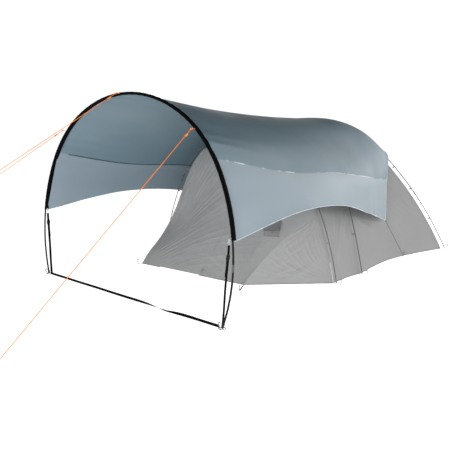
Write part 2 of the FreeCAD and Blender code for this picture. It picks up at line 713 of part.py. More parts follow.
def vestibule_parts():
    left, right = DOOR_SIDES
    gap = 0.004
    door_edge = right - gap
    fixed = [
        cloth(front_point, (gap, left - gap), (0, 1), (5, 10), TENT_CLOTH),
        cloth(front_point, (left - gap + 0.0005, right + gap), (DOOR_TOP + gap, 1), (6, 5), TENT_CLOTH),
    ]
    vented = cloth(front_point, (right + gap + 0.0005, 1 - gap), (0, 1), (6, 10), TENT_CLOTH)
    fixed.append(vented.cut(vent_plate(0.0, -60.0, 60.0)))
    zip_place = (right + gap + 0.003, right + gap + 0.014)

    def zip_point(s, v):
        return front_point(s, v) + front_normal(s, v) * 3.0

    return {
        "vestibule_front": Part.makeCompound(fixed),
        "vestibule_wing_left": cloth(wing_point(-1), (0.012, 0.985), (0, 0.965), (5, 10), TENT_CLOTH),
        "vestibule_wing_right": cloth(wing_point(1), (0.012, 0.985), (0, 0.955), (5, 10), TENT_CLOTH),
        "vestibule_door": cloth(front_point, (left + gap, door_edge), (0.003, DOOR_TOP - gap), (6, 8),
                                TENT_CLOTH),
        "door_zip_tape": cloth(zip_point, zip_place, (0.01, DOOR_TOP), (3, 10), 1.6),
        "vent_mesh": vent_plate(3.0, -0.5, 0.5),
    }


def zip_line():
    """Lowest and highest place of the zip slider, in front of the zip tape."""
    s = DOOR_SIDES[1] + 0.0125
    low, high = 0.04, DOOR_TOP - 0.02
    return (front_point(s, low) + front_normal(s, low) * ZIP_CLEARANCE,
            front_point(s, high) + front_normal(s, high) * ZIP_CLEARANCE)


def zip_slider():
    low, high = zip_line()
    along = (high - low).normalize()
    body = bar_between(low - along * 9, low + along * 9, 12.0, 6.0)
    puller = bar_between(low - along * 46, low - along * 4, 7.0, 2.5)
    return body.fuse(puller)


def vent_hood():
    """A stiff flap over the vent, hinged along its upper edge and propped open."""
    middle, out, level, down = vent_frame()
    angle = math.radians(HOOD_OPEN)
    slope = down * math.cos(angle) + out * math.sin(angle)
    hinge = middle - down * (VENT_HEIGHT / 2 + 4) + out * HOOD_LIFT
    near = hinge + slope * 3
    far = hinge + slope * HOOD_LENGTH
    wide = level * (VENT_WIDTH / 2 + 12)
    narrow = level * (VENT_WIDTH / 2 - 8)
    outline = [near - wide, near + wide, far + narrow, far - narrow, near - wide]
    return Part.Face(Part.makePolygon(outline)).extrude(level.cross(slope) * 2.0)


def strut_base():
    middle, out, _, down = vent_frame()
    reach = HOOD_LENGTH * math.cos(math.radians(HOOD_OPEN)) - 13.0
    return middle + down * (reach - VENT_HEIGHT / 2 - 4) + out * STRUT_LIFT


def vent_strut():
    """The short prop that holds the hood open."""
    out = vent_frame()[1]
    return Part.makeCylinder(STRUT_RADIUS, STRUT_LENGTH, strut_base(), out)


def inner_tent():
    """The hanging inner tent: side and rear walls, and a front wall with an open doorway."""
    legs = dome_halves(INNER_INSET, APEX_ANGLE)
    order = (("front_right", "rear_right"), ("rear_right", "rear_left"), ("rear_left", "front_left"),
             ("front_left", "front_right"))
    walls = []
    for first, second in order:
        surface = wall(legs[first], legs[second], WALL_SAG * 0.9)
        walls.append(cloth(surface, (0.01, 0.99), (0.01, 1), (6, 10), TENT_CLOTH))
    doorway = Part.makeBox(1200, 900, 1000, V(TENT_X - 600, 2200, 140))
    walls[3] = walls[3].cut(doorway)
    return Part.makeCompound(walls)


def tub_groundsheet():
    """A waterproof floor with low turned-up edges, inside the inner tent."""
    def outline(half_front, half_rear, front, rear, z):
        corners = [(-half_front, front), (half_front, front), (half_rear, rear), (-half_rear, rear)]
        points = [V(TENT_X + x, y, z) for x, y in corners]
        return Part.Face(Part.makePolygon(points + points[:1]))

    outer = outline(1120, 1220, 2790, 4470, 0).extrude(V(0, 0, 90))
    inner = outline(1116, 1216, 2794, 4466, 3).extrude(V(0, 0, 100))
    return outer.cut(inner)


def tent_ground_parts():
    """Webbing loops from the tent's feet and corners, each with its peg."""
    places = []
    for side in (-1, 1):
        places.append((foot(*VESTIBULE_FOOT, side), V(side, 0, 0), 45.0))
        places.append((foot(*DOME_FRONT, side), V(side, 0, 0), 45.0))
        places.append((foot(*DOME_REAR, side), V(side * 0.3, 0.95, 0).normalize(), 33.0))
    places.append((V(*FRONT_PEG_LEFT, 0), V(-0.6, -0.8, 0).normalize(), 40.0))
    places.append((V(*FRONT_PEG_RIGHT, 0), V(0.5, -0.866, 0).normalize(), 235.0))
    loops, pegs = [], []
    for start, out, reach in places:
        near = start + out * 10 + V(0, 0, 5.0)
        far = start + out * (reach - 7) + V(0, 0, 5.0)
        loops.append(bar_between(near, far, 16.0, 2.0))
        spot = start + out * reach
        pegs.append(hooked_peg(spot.x, spot.y, out))
    return {"tent_foot_loops": Part.makeCompound(loops), "tent_pegs": Part.makeCompound(pegs)}


# ---------------------------------------------------------------- the whole assembly
def assembly():
    parts = {name: leaned(shape) for name, shape in hoop_poles().items()}
    parts["hoop_sleeve"] = leaned(hoop_sleeve())
    straps, tabs = leg_straps()
    parts["leg_straps"] = leaned(straps)
    parts["leg_strap_rings"] = leaned(tabs)
    for side, word in ((-1, "left"), (1, "right")):
        parts["leg_buckle_" + word] = leaned(leg_buckle(side))
        parts["leg_strap_tail_" + word] = leaned(leg_tail(side))
    parts.update(ground_fittings())
    for name in GUY_TABS:
        parts["guyline_" + name] = guyline(name)
        parts["guyline_runner_" + name] = guy_runner(name)
    parts["guyline_tabs"], parts["guyline_pegs"] = guy_fittings()
    parts.update(canopy_panels())
    parts.update(corner_parts())
    parts.update(tent_poles())
    parts.update(side_cloths())
    parts.update(vestibule_parts())
    parts["door_zip_slider"] = zip_slider()
    parts["vent_hood"] = vent_hood()
    parts["vent_strut"] = vent_strut()
    parts["inner_tent"] = inner_tent()
    parts["tub_groundsheet"] = tub_groundsheet()
    parts.update(tent_ground_parts())
    for shape in parts.values():
        shape.translate(V(-FOOTPRINT_MIDDLE[0], -FOOTPRINT_MIDDLE[1], 0))
    return parts


def main():
    os.makedirs("parts", exist_ok=True)
    for name, shape in assembly().items():
        shape.exportStep("parts/" + name + ".step")


main()
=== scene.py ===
"""Looks for the hooped sun canopy over a dome tent. Lengths are in metres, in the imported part's frame."""

import json
import math

import bmesh
import bpy
import numpy as np
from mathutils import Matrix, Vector


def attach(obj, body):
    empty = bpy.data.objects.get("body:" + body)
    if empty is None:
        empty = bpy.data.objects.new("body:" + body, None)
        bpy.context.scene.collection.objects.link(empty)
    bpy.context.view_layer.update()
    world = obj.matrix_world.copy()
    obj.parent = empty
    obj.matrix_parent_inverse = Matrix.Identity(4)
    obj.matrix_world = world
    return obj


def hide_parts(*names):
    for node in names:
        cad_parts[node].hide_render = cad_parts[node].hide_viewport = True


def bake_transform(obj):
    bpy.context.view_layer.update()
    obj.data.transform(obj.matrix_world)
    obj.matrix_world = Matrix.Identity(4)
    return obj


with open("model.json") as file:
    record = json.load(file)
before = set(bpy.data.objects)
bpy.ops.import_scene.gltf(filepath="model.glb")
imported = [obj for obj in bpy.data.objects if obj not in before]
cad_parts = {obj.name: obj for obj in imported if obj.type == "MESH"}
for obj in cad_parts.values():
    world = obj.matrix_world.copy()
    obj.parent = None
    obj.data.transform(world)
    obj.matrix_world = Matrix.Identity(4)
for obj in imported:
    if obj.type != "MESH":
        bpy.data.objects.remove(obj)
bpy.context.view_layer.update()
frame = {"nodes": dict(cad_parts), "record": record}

OFFSET = np.array([0.035, -2.4, 0.0])      # from the hoop's feet to the middle of the footprint
TENT_X = -0.035                            # the tent stands this far off the hoop's middle
UP = np.array([0.0, 0.0, 1.0])


# -------- camera, light and ground
def camera():
    yaw, pitch = math.radians(42.42), math.radians(9.179)
    data = bpy.data.cameras.new("camera")
    data.lens = 43.64
    data.sensor_width = 36.0
    obj = bpy.data.objects.new("camera", data)
    obj.location = Vector((4.557, -3.365, 1.663)) + Vector(OFFSET)
    look = Vector((-math.sin(yaw) * math.cos(pitch), math.cos(yaw) * math.cos(pitch), -math.sin(pitch)))
    obj.rotation_euler = look.to_track_quat("-Z", "Y").to_euler()
    bpy.context.scene.collection.objects.link(obj)
    bpy.context.scene.camera = obj


def area_light(name, place, target, width, power):
    data = bpy.data.lights.new(name, "AREA")
    data.shape = "SQUARE"
    data.size = width
    data.energy = power
    obj = bpy.data.objects.new(name, data)
    obj.location = place
    obj.rotation_euler = (Vector(target) - Vector(place)).to_track_quat("-Z", "Y").to_euler()
    bpy.context.scene.collection.objects.link(obj)


def surroundings():
    """Studio light: bright all round at eye level and dim overhead, so low sides catch the most light."""
    bpy.context.scene.view_settings.view_transform = "Standard"
    world = bpy.data.worlds.new("world")
    world.use_nodes = True
    tree = world.node_tree
    background = tree.nodes["Background"]
    background.inputs["Color"].default_value = (1, 1, 1, 1)
    place = tree.nodes.new("ShaderNodeTexCoord")
    split = tree.nodes.new("ShaderNodeSeparateXYZ")
    strength = tree.nodes.new("ShaderNodeMapRange")
    for socket, value in (("From Min", 0.24), ("From Max", 0.42), ("To Min", 1.05), ("To Max", 0.0)):
        strength.inputs[socket].default_value = value
    tree.links.new(place.outputs["Generated"], split.inputs[0])
    tree.links.new(split.outputs["Z"], strength.inputs["Value"])
    tree.links.new(strength.outputs["Result"], background.inputs["Strength"])
    bpy.context.scene.world = world
    area_light("side_light", (9.0, 2.5, 3.2), (0, 0.5, 0.9), 3.0, 250)
    area_light("back_light", (3.4, 7.4, 5.2), (0.5, 0, 1.5), 6.5, 210)
    area_light("front_light", (4.0, -9.0, 1.6), (-0.5, -1, 1.2), 4.0, 540)
    ground_plane()


def ground_plane():
    reach = 40.0
    corners = [(-reach, -reach, 0), (reach, -reach, 0), (reach, reach, 0), (-reach, reach, 0)]
    ground = new_object("ground", corners, [(0, 1, 2, 3)], smooth_shade=False)
    n = Nodes("ground_white")
    n.shader.inputs["Base Color"].default_value = (0.8, 0.8, 0.8, 1)
    n.shader.inputs["Roughness"].default_value = 1.0
    n.shader.inputs["Emission Color"].default_value = (1, 1, 1, 1)
    n.shader.inputs["Emission Strength"].default_value = 1.0
    ground.data.materials.append(n.material)


# -------- materials
class Nodes:
    """A small helper that adds shader nodes and joins them."""

    def __init__(self, name):
        self.material = bpy.data.materials.new(name)
        self.material.use_nodes = True
        self.tree = self.material.node_tree
        self.shader = self.tree.nodes["Principled BSDF"]

    def add(self, kind, **settings):
        node = self.tree.nodes.new(kind)
        for key, value in settings.items():
            if key in node.inputs:
                node.inputs[key].default_value = value
            else:
                setattr(node, key, value)
        return node

    def join(self, source, output, target, slot):
        self.tree.links.new(source.outputs[output], target.inputs[slot])

    def ramp(self, source, output, stops):
        node = self.add("ShaderNodeValToRGB")
        for element, (place, color) in zip(node.color_ramp.elements, stops):
            element.position = place
            element.color = (*color, 1.0)
        self.join(source, output, node, "Fac")
        return node

    def vary_color(self, source, color, vary):
        return self.ramp(source, "Fac", [(0.3, shade(color, 1 - vary)), (0.7, shade(color, 1 + vary))])

    def vary_gloss(self, source, rough):
        self.join(self.vary_color(source, (rough,) * 3, 0.15), "Color", self.shader, "Roughness")

    def color_times(self, tone, pattern, share):
        """Colour the shader with the tone, multiplied by a share of the pattern."""
        mix = self.add("ShaderNodeMix", data_type="RGBA", blend_type="MULTIPLY")
        mix.inputs[0].default_value = share
        self.tree.links.new(tone.outputs["Color"], mix.inputs[6])
        self.tree.links.new(pattern, mix.inputs[7])
        self.tree.links.new(mix.outputs[2], self.shader.inputs["Base Color"])

    def bump(self, source, output, strength, depth, under=None):
        node = self.add("ShaderNodeBump", Strength=strength, Distance=depth)
        self.join(source, output, node, "Height")
        if under is not None:
            self.join(under, "Normal", node, "Normal")
        return node


def shade(color, factor):
    return tuple(min(1.0, c * factor) for c in color)


def plain_material(name, color, rough, metal, specular=0.5):
    """Paint, plastic or metal with a fine grain, uneven gloss and slight wear."""
    n = Nodes(name)
    place = n.add("ShaderNodeTexCoord")
    grain = n.add("ShaderNodeTexNoise", Scale=120.0, Detail=6.0, Roughness=0.6)
    n.join(place, "Object", grain, "Vector")
    tone = n.vary_color(grain, color, 0.12)
    n.join(tone, "Color", n.shader, "Base Color")
    n.vary_gloss(grain, rough)
    relief = n.bump(grain, "Fac", 0.12, 0.0006)
    n.join(relief, "Normal", n.shader, "Normal")
    n.shader.inputs["Metallic"].default_value = metal
    n.shader.inputs["Specular IOR Level"].default_value = specular
    return n.material


def crossing_threads(n, place, thread):
    """Two crossing sets of threads, multiplied."""
    weave = n.add("ShaderNodeMath", operation="MULTIPLY")
    for slot, direction in enumerate(("X", "Y")):
        wave = n.add("ShaderNodeTexWave", bands_direction=direction, wave_profile="SIN", Scale=thread,
                     Distortion=0.4)
        n.join(place, "UV", wave, "Vector")
        n.tree.links.new(wave.outputs["Fac"], weave.inputs[slot])
    return weave


def weave_material(name, color, rough, thread, bump, vary=0.05, sheen=0.15, crease=0.0, specular=0.5):
    """Plain-woven cloth: threads in bump and tone, over soft creases."""
    n = Nodes(name)
    place = n.add("ShaderNodeTexCoord")
    weave = crossing_threads(n, place, thread)
    cloud = n.add("ShaderNodeTexNoise", Scale=2.2, Detail=5.0, Roughness=0.55)
    n.join(place, "Object", cloud, "Vector")
    n.color_times(n.vary_color(cloud, color, vary), weave.outputs[0], 0.12)
    n.vary_gloss(cloud, rough)
    under = None
    if crease:
        wrinkle = n.add("ShaderNodeTexNoise", Scale=4.0, Detail=8.0, Roughness=0.6, Distortion=0.8)
        n.join(place, "UV", wrinkle, "Vector")
        under = n.bump(wrinkle, "Fac", crease, 0.03)
    fine = n.bump(weave, 0, bump, 0.0004, under)
    n.join(fine, "Normal", n.shader, "Normal")
    n.shader.inputs["Sheen Weight"].default_value = sheen
    n.shader.inputs["Sheen Roughness"].default_value = 0.4
    n.shader.inputs["Specular IOR Level"].default_value = specular
    return n.material


def seam_material(name, dark, light):
    """Folded seam tape with stitches along it; where noise marks the fold's puckers, the tape is painted
    paler as a highlight.
    """
    n = Nodes(name)
    place = n.add("ShaderNodeTexCoord")
    # pucker places painted highlights: the ramp below paints the tape pale where a pucker would catch the
    # light
    pucker = n.add("ShaderNodeTexNoise", Scale=3.0, Detail=4.0, Roughness=0.7)
    n.join(place, "Object", pucker, "Vector")
    tone = n.ramp(pucker, "Fac", [(0.5, dark), (0.62, light)])
    stitch = n.add("ShaderNodeTexWave", bands_direction="X", wave_profile="SIN", Scale=60.0)
    n.join(place, "UV", stitch, "Vector")
    n.color_times(tone, stitch.outputs["Color"], 0.25)
    n.vary_gloss(pucker, 0.55)
    relief = n.bump(stitch, "Fac", 0.4, 0.0006)
    n.join(relief, "Normal", n.shader, "Normal")
    return n.material


# -------- shapes shared with the hard parts
def polar(x, z, radius, degrees):
    angle = np.radians(degrees)
    return x + radius * np.sin(angle), z + radius * np.cos(angle)


HOOP_HEIGHT, FLAT, SHOULDER = 2.1, 1.724, 1.3      # its height, and the radii of its wide and tight bends
TOP_END, SHOULDER_END = 28.0, 62.0         # degrees from straight up where the bends change
LEAN = math.radians(-3.1)                  # towards the tent


def hoop_arcs():
    step = FLAT - SHOULDER
    top = (0.0, HOOP_HEIGHT - FLAT, FLAT)
    shoulder = (*polar(top[0], top[1], step, TOP_END), SHOULDER)
    side = (*polar(shoulder[0], shoulder[1], -step, SHOULDER_END), FLAT)
    leg = (0.0, side[1], side[0] + FLAT)
    return ((TOP_END, top), (SHOULDER_END, shoulder), (90.0, side), (180.0, leg))


SIDES = ((-1, "left"), (1, "right"))
HOOP_ARCS = hoop_arcs()
HALF_WIDTH = HOOP_ARCS[3][1][2]
FOOT_ANGLE = math.degrees(math.acos(-HOOP_ARCS[3][1][1] / HALF_WIDTH))


def lean(points):
    x, y, z = np.moveaxis(np.asarray(points, float), -1, 0)
    cos, sin = math.cos(LEAN), math.sin(LEAN)
    return np.stack([x, y * cos - z * sin, y * sin + z * cos], -1)


def hoop_point(angle, out=0.0, y=0.0):
    """A point of the hoop before it leans, in the frame of its feet."""
    x, z, radius = next(arc for limit, arc in HOOP_ARCS if abs(angle) <= limit)
    px, pz = polar(x, z, radius + out, abs(angle))
    return np.array([math.copysign(px, angle), y, pz])


class Arch:
    """A tent pole between two feet: a round crown with a flatter leg on each side, tangent to it."""

    def __init__(self, foot_a, foot_b, height, crown_radius, crown_angle):
        a, b = np.array(foot_a, float), np.array(foot_b, float)
        half = np.linalg.norm(b - a) / 2
        self.middle, self.heading = (a + b) / 2, (b - a) / np.linalg.norm(b - a)
        x, z = polar(0.0, height - crown_radius, crown_radius, crown_angle)
        foot = 2 * math.degrees(math.atan2(z, half - x)) - crown_angle
        leg = (half - x) / (math.sin(math.radians(foot)) - math.sin(math.radians(crown_angle)))
        self.crown_angle = crown_angle
        self.crown = (0.0, height - crown_radius, crown_radius)
        self.leg = (*polar(x, z, -leg, crown_angle), leg)

    def point(self, angles, inset=0.0):
        angles = np.asarray(angles, float)
        on_crown = np.abs(angles) <= self.crown_angle
        x, z, radius = (np.where(on_crown, c, l) for c, l in zip(self.crown, self.leg))
        span, height = polar(x, z, radius - inset, np.abs(angles))
        return self.middle + self.heading * (np.sign(angles) * span)[..., None] + UP * height[..., None]

    def angle_at_height(self, height, inset=0.0):
        return math.degrees(math.acos((height - self.leg[1]) / (self.leg[2] - inset)))


def foot(half_width, y, side):
    return TENT_X + side * half_width, y, 0.0


CLEARANCE, INSET = 0.010, 0.040            # the cloth's gaps to the ground and to the poles
POLE_STEP, WALL_SAG = 0.013, 0.15          # between the crossing poles' heights; the walls' inward curve
WALL_TOP = 6.5                             # degrees from the poles' crossing to the top of a wall
LEFT_SLACK = 0.05                          # how far the left edge hangs in at most
WING_STEP = np.array([0, 0.006, 0])        # the front's cloth lies this far before the vestibule pole
FRONT_FEET, REAR_FEET, VESTIBULE_FEET = (1.465, 2.54), (1.613, 4.793), (1.459, 1.949)
DOME_HEIGHT, DOME_CROWN = 1.885, (1.14, 44.0)
DOME_A = Arch(foot(*REAR_FEET, -1), foot(*FRONT_FEET, 1), DOME_HEIGHT - POLE_STEP, *DOME_CROWN)
DOME_B = Arch(foot(*FRONT_FEET, -1), foot(*REAR_FEET, 1), DOME_HEIGHT, *DOME_CROWN)
VESTIBULE = Arch(foot(*VESTIBULE_FEET, -1), foot(*VESTIBULE_FEET, 1), 1.73, 1.22, 60.0)
CROSSING = math.degrees(math.asin((TENT_X - DOME_A.middle[0]) / DOME_A.heading[0] / DOME_CROWN[0]))


def smooth(values, places):
    """A smooth curve through values[0], values[1], ... at places counted in steps."""
    values, places = np.asarray(values, float), np.asarray(places, float)
    first, last = 2 * values[0] - values[1], 2 * values[-1] - values[-2]
    padded = np.concatenate([first[None], values, last[None]])
    index = np.clip(places.astype(int), 0, len(values) - 2)
    t = (places - index).reshape((-1,) + (1,) * (values.ndim - 1))
    a, b, c, d = (padded[index + k] for k in range(4))
    return b + 0.5 * ((c - a) * t + (2 * a - 5 * b + 4 * c - d) * t ** 2 + (3 * (b - c) + d - a) * t ** 3)


CANOPY_ANGLES = (0.0, 20.0, 40.0, 56.0, 82.0)
CANOPY_SECTIONS = (
    ((0, 1.15, 1.99), (0.569, 1.15, 1.888), (1.009, 1.15, 1.632), (1.294, 1.13, 1.312), (1.489, 1.1, 0.925)),
    ((0, 2.1, 1.932), (0.537, 2.1, 1.845), (0.957, 2.1, 1.59), (1.257, 2.1, 1.258), (1.417, 2.05, 0.9)),
    ((0, 3.0, 1.918), (0.496, 3.0, 1.842), (0.891, 3.0, 1.552), (1.201, 2.95, 1.168), (1.311, 2.9, 0.715)),
    ((0, 3.6, 1.93), (0.465, 3.6, 1.872), (0.86, 3.59, 1.57), (1.147, 3.4, 1.112), (1.267, 3.24, 0.628)),
    ((0, 3.98, 1.815), (0.52, 3.99, 1.775), (0.85, 3.96, 1.53), (1.103, 3.68, 1.085), (1.24, 3.44, 0.575)),
    ((0, 4.3, 1.545), (0.505, 4.32, 1.53), (0.868, 4.252, 1.412), (1.075, 3.87, 1.062), (1.215, 3.6, 0.53)),
)
SEAM, HEM, LAST = 3, 4, len(CANOPY_SECTIONS)
CANOPY_FRONT = -0.028                      # the cloth's first station, inside the sleeve


def canopy_grid(stations, columns):
    """Points of the canopy's middle surface, an array of stations by columns by 3."""
    start = lean([hoop_point(angle, 0.0, 0.052) for angle in CANOPY_ANGLES])
    lines = np.concatenate([start[None], np.array(CANOPY_SECTIONS, float)])
    half = smooth(lines, stations)
    mirrored = half[:, :0:-1] * np.array([-1.0, 1.0, 1.0])
    whole = np.moveaxis(np.concatenate([mirrored, half], axis=1), 1, 0)
    points = np.moveaxis(smooth(whole, np.asarray(columns) + HEM), 0, 1)
    drift = TENT_X * np.clip(np.asarray(stations) / 4.0, 0.0, 1.0)
    points[..., 0] += drift[:, None]
    return points


def wall_grid(first, second, sag, us, vs):
    """Points between two half arches, an array of us by vs by 3; each half arch is a function of vs."""
    a, b = first(vs)[None], second(vs)[None]
    u, v = us[:, None, None], vs[None, :, None]
    points = a + (b - a) * u
    inward = np.array([TENT_X, 3.6, 0.0]) - points * np.array([1.0, 1.0, 0.0])
    inward /= np.linalg.norm(inward, axis=-1, keepdims=True)
    return points + inward * (sag * 4 * u * (1 - u) * (1 - v) ** 1.5)


def half_arch(arch, side, top, inset):
    low = side * arch.angle_at_height(CLEARANCE, inset)
    return lambda vs: arch.point(low + (top - low) * vs, inset)


def dome_legs(inset, apex):
    return {
        "front_right": half_arch(DOME_A, 1, CROSSING + apex, inset),
        "rear_left": half_arch(DOME_A, -1, CROSSING - apex, inset),
        "rear_right": half_arch(DOME_B, 1, -CROSSING + apex, inset + POLE_STEP),
        "front_left": half_arch(DOME_B, -1, -CROSSING - apex, inset + POLE_STEP),
    }


PEG_LEFT, PEG_RIGHT = np.array([-1.01, 1.1, CLEARANCE]), np.array([0.67, 1.2, CLEARANCE])
FOLD_LEFT, FOLD_RIGHT_HEIGHT, FOLD_SAGS = -32.0, 0.79, (-0.19, 0.072)
FOLD_RIGHT = VESTIBULE.angle_at_height(FOLD_RIGHT_HEIGHT, INSET)
DOOR_LEFT, DOOR_RIGHT, DOOR_TOP, DOOR_TUCK = 0.2, 0.6, 0.78, 0.0025
VENT_PLACE, VENT_WIDTH, VENT_HEIGHT, VENT_MARGIN = (0.944, 0.525), 0.178, 0.185, 0.004
HOOD_ANGLE, HOOD_REACH = math.radians(36.0), 0.192


def front_grid(ss, vs):
    """Points of the vestibule's front; s runs from the left fold to the right one, v up from the ground."""
    top = VESTIBULE.point(FOLD_LEFT + (FOLD_RIGHT - FOLD_LEFT) * ss, INSET) - WING_STEP
    low = PEG_LEFT + (PEG_RIGHT - PEG_LEFT) * ss[:, None]
    v = vs[None, :, None]
    even, s = 4 * vs * (1 - vs), ss[:, None]
    bulge = (FOLD_SAGS[0] * (1 - s) ** 2 * even ** 3 + FOLD_SAGS[1] * s * even)[..., None]
    return low[:, None] + (top - low)[:, None] * v + np.array([0, -0.55, 0.83]) * bulge


def left_slack(edge):
    """How far the left cloths' edge hangs in from the vestibule pole between its clips."""
    pull = LEFT_SLACK * np.sin(math.pi * np.clip(edge[..., 2] / 1.5, 0, 1))
    return pull[..., None] * np.array([1.0, 0.0, 0.0])


def wing_grid(side, us, vs):
    high = -FOLD_LEFT if side < 0 else FOLD_RIGHT
    low = VESTIBULE.angle_at_height(CLEARANCE, INSET)
    pole = VESTIBULE.point(side * (low + (high - low) * vs), INSET) - WING_STEP
    fold = front_grid(np.array([0.0 if side < 0 else 1.0]), vs)[0]
    if side < 0:
        pole = pole + left_slack(pole)
    u = us[:, None, None]
    return fold[None] + (pole - fold)[None] * u


# -------- mesh makers
def new_object(name, vertices, faces, uvs=None, smooth_shade=True):
    mesh = bpy.data.meshes.new(name)
    mesh.from_pydata([tuple(v) for v in vertices], [], faces)
    if uvs is not None:
        layer = mesh.uv_layers.new(name="UVMap")
        corners = np.empty(len(mesh.loops), int)
        mesh.loops.foreach_get("vertex_index", corners)
        layer.data.foreach_set("uv", np.asarray(uvs, float)[corners].ravel())
    if smooth_shade:
        mesh.polygons.foreach_set("use_smooth", [True] * len(mesh.polygons))
        mesh.set_sharp_from_angle(angle=math.radians(55.0))
    obj = bpy.data.objects.new(name, mesh)
    bpy.context.scene.collection.objects.link(obj)
    return obj


def grid_normals(points):
    normal = np.cross(np.gradient(points, axis=0), np.gradient(points, axis=1))
    return normal / np.maximum(np.linalg.norm(normal, axis=-1, keepdims=True), 1e-9)


def grid_uvs(points):
    """Distances along the cloth in metres, so that threads and stitches keep their size."""
    rows = np.linalg.norm(np.diff(points, axis=0), axis=-1).mean(axis=1)
    columns = np.linalg.norm(np.diff(points, axis=1), axis=-1).mean(axis=0)
    u, v = np.concatenate([[0], np.cumsum(rows)]), np.concatenate([[0], np.cumsum(columns)])
    return np.stack(np.meshgrid(u, v, indexing="ij"), -1)


def relieved(points, relief):
    """The grid moved along its own normals by relief, in metres."""
    return points + grid_normals(points) * relief[..., None]


def closed_sheet(name, points, thickness, hole=None):
    """A closed thin sheet on both sides of a grid of points; quads marked in hole are left out."""
    n, m = points.shape[:2]
    half = grid_normals(points) * thickness / 2
    vertices = np.concatenate([(points + half).reshape(-1, 3), (points - half).reshape(-1, 3)]) + OFFSET
    uv = grid_uvs(points).reshape(-1, 2)
    index = np.arange(n * m).reshape(n, m)
    quads = np.stack([index[:-1, :-1], index[1:, :-1], index[1:, 1:], index[:-1, 1:]], -1)
    kept = quads.reshape(-1, 4) if hole is None else quads[~hole]
    edges = {(int(q[k]), int(q[(k + 1) % 4])) for q in kept for k in range(4)}
    faces = [tuple(int(c) for c in q) for q in kept]
    faces += [tuple(int(c) + n * m for c in q[::-1]) for q in kept]
    faces += [(b, a, a + n * m, b + n * m) for a, b in sorted(edges) if (b, a) not in edges]
    obj = new_object(name, vertices, faces, np.concatenate([uv, uv]))
    if hole is not None:
        drop_loose(obj)
    return obj


def drop_loose(obj):
    """Remove the points that no face uses."""
    shape = bmesh.new()
    shape.from_mesh(obj.data)
    bmesh.ops.delete(shape, geom=[v for v in shape.verts if not v.link_faces], context="VERTS")
    shape.to_mesh(obj.data)
    shape.free()


def distances(line):
    """How far each point is along a line of points."""
    return np.concatenate([[0], np.cumsum(np.linalg.norm(np.diff(line, axis=0), axis=1))])


def ring_tube(name, rings):
    """A closed skin over rings of points, an array of rings by points by 3, with flat ends."""
    count, sides = rings.shape[:2]
    travel, around = distances(rings.mean(axis=1)), distances(rings[0])
    uvs = np.stack(np.meshgrid(travel, around, indexing="ij"), -1).reshape(-1, 2)
    faces = []
    for low in range(0, (count - 1) * sides, sides):
        high = low + sides
        for k in range(sides):
            after = (k + 1) % sides
            faces.append((low + k, low + after, high + after, high + k))
    faces += [tuple(range(sides))[::-1], tuple((count - 1) * sides + k for k in range(sides))]
    return new_object(name, rings.reshape(-1, 3), faces, uvs)


def path_frames(path):
    """Along, across and above directions at each point of a path."""
    along = np.gradient(path, axis=0)
    along /= np.linalg.norm(along, axis=1, keepdims=True)
    across = np.cross(along, UP if abs(along[0][2]) < 0.95 else np.array([1.0, 0, 0]))
    across /= np.linalg.norm(across, axis=1, keepdims=True)
    return along, across, np.cross(across, along)


def line_tube(name, path, radius, sides=8):
    """A round closed tube along a list of points."""
    path = np.asarray(path, float)
    _, across, above = path_frames(path)
    turn = np.linspace(0, 2 * math.pi, sides, endpoint=False)
    rings = path[:, None] + radius * (np.cos(turn)[None, :, None] * across[:, None]
                                      + np.sin(turn)[None, :, None] * above[:, None])
    return ring_tube(name, rings)


def dress(obj, material):
    obj.data.materials.clear()
    obj.data.materials.append(material)
    return obj


def place(obj, material, slot, body, *nodes):
    """Give a finished mesh its material, its body and the nodes that it stands for."""
    dress(obj, material)
    if nodes:
        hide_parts(*nodes)
    if body:
        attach(obj, body)
    return obj


# -------- cords
def cord_spline(name, points, radius):
    """One NURBS curve along the cord's route."""
    curve = bpy.data.curves.new(name, "CURVE")
    curve.dimensions = "3D"
    spline = curve.splines.new("NURBS")
    spline.points.add(len(points) - 1)
    for target, point in zip(spline.points, points):
        target.co = (*point, 1.0)
    spline.order_u = 3
    spline.use_endpoint_u = True
    spline.resolution_u = 12
    curve.bevel_depth = radius
    curve.bevel_resolution = 3
    curve.use_fill_caps = True
    obj = bpy.data.objects.new(name, curve)
    bpy.context.scene.collection.objects.link(obj)
    return obj


def sampled(points):
    """The line that the cord's spline draws, as a list of points."""
    probe = cord_spline("probe", points, 0.0)
    bpy.context.view_layer.update()
    mesh = bpy.data.meshes.new_from_object(probe.evaluated_get(bpy.context.evaluated_depsgraph_get()))
    line = np.array([v.co for v in mesh.vertices], float)
    bpy.data.meshes.remove(mesh)
    bpy.data.objects.remove(probe)
    return line


GUY_RADIUS, CORNER_RADIUS = 0.003, 0.0025
BIGHT_RADIUS, KNOT_RADIUS = 0.0022, 0.0042
RING_Y, KNOT_Y = -0.046, -0.060            # a tab's ring and the line's knot, in front of the hoop
GUYLINES = {
    "centre": (-1.8, (-0.1, -3.5)),
    "left": (-40.8, (-1.6, -2.47)),
    "right": (40.8, (1.6, -2.47)),
}


def guyline_route(name):
    angle, peg = GUYLINES[name]
    start, end = lean(hoop_point(angle, 0.0, KNOT_Y)), np.array([*peg, 0.042])
    along = (end - start) / np.linalg.norm(end - start)
    sag = -0.003 * UP
    return np.array([start, start + along * 0.06 + sag, end - along * 0.06 + sag, end]) + OFFSET


def guylines(material):
    for name, (angle, _) in GUYLINES.items():
        route = guyline_route(name)
        path = sampled(route)
        tube = place(line_tube(f"guyline_{name}_line", path, GUY_RADIUS), material, "guyline", None,
                     f"guyline_{name}")
        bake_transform(tube)
        guyline_knot(name, angle, route, material)


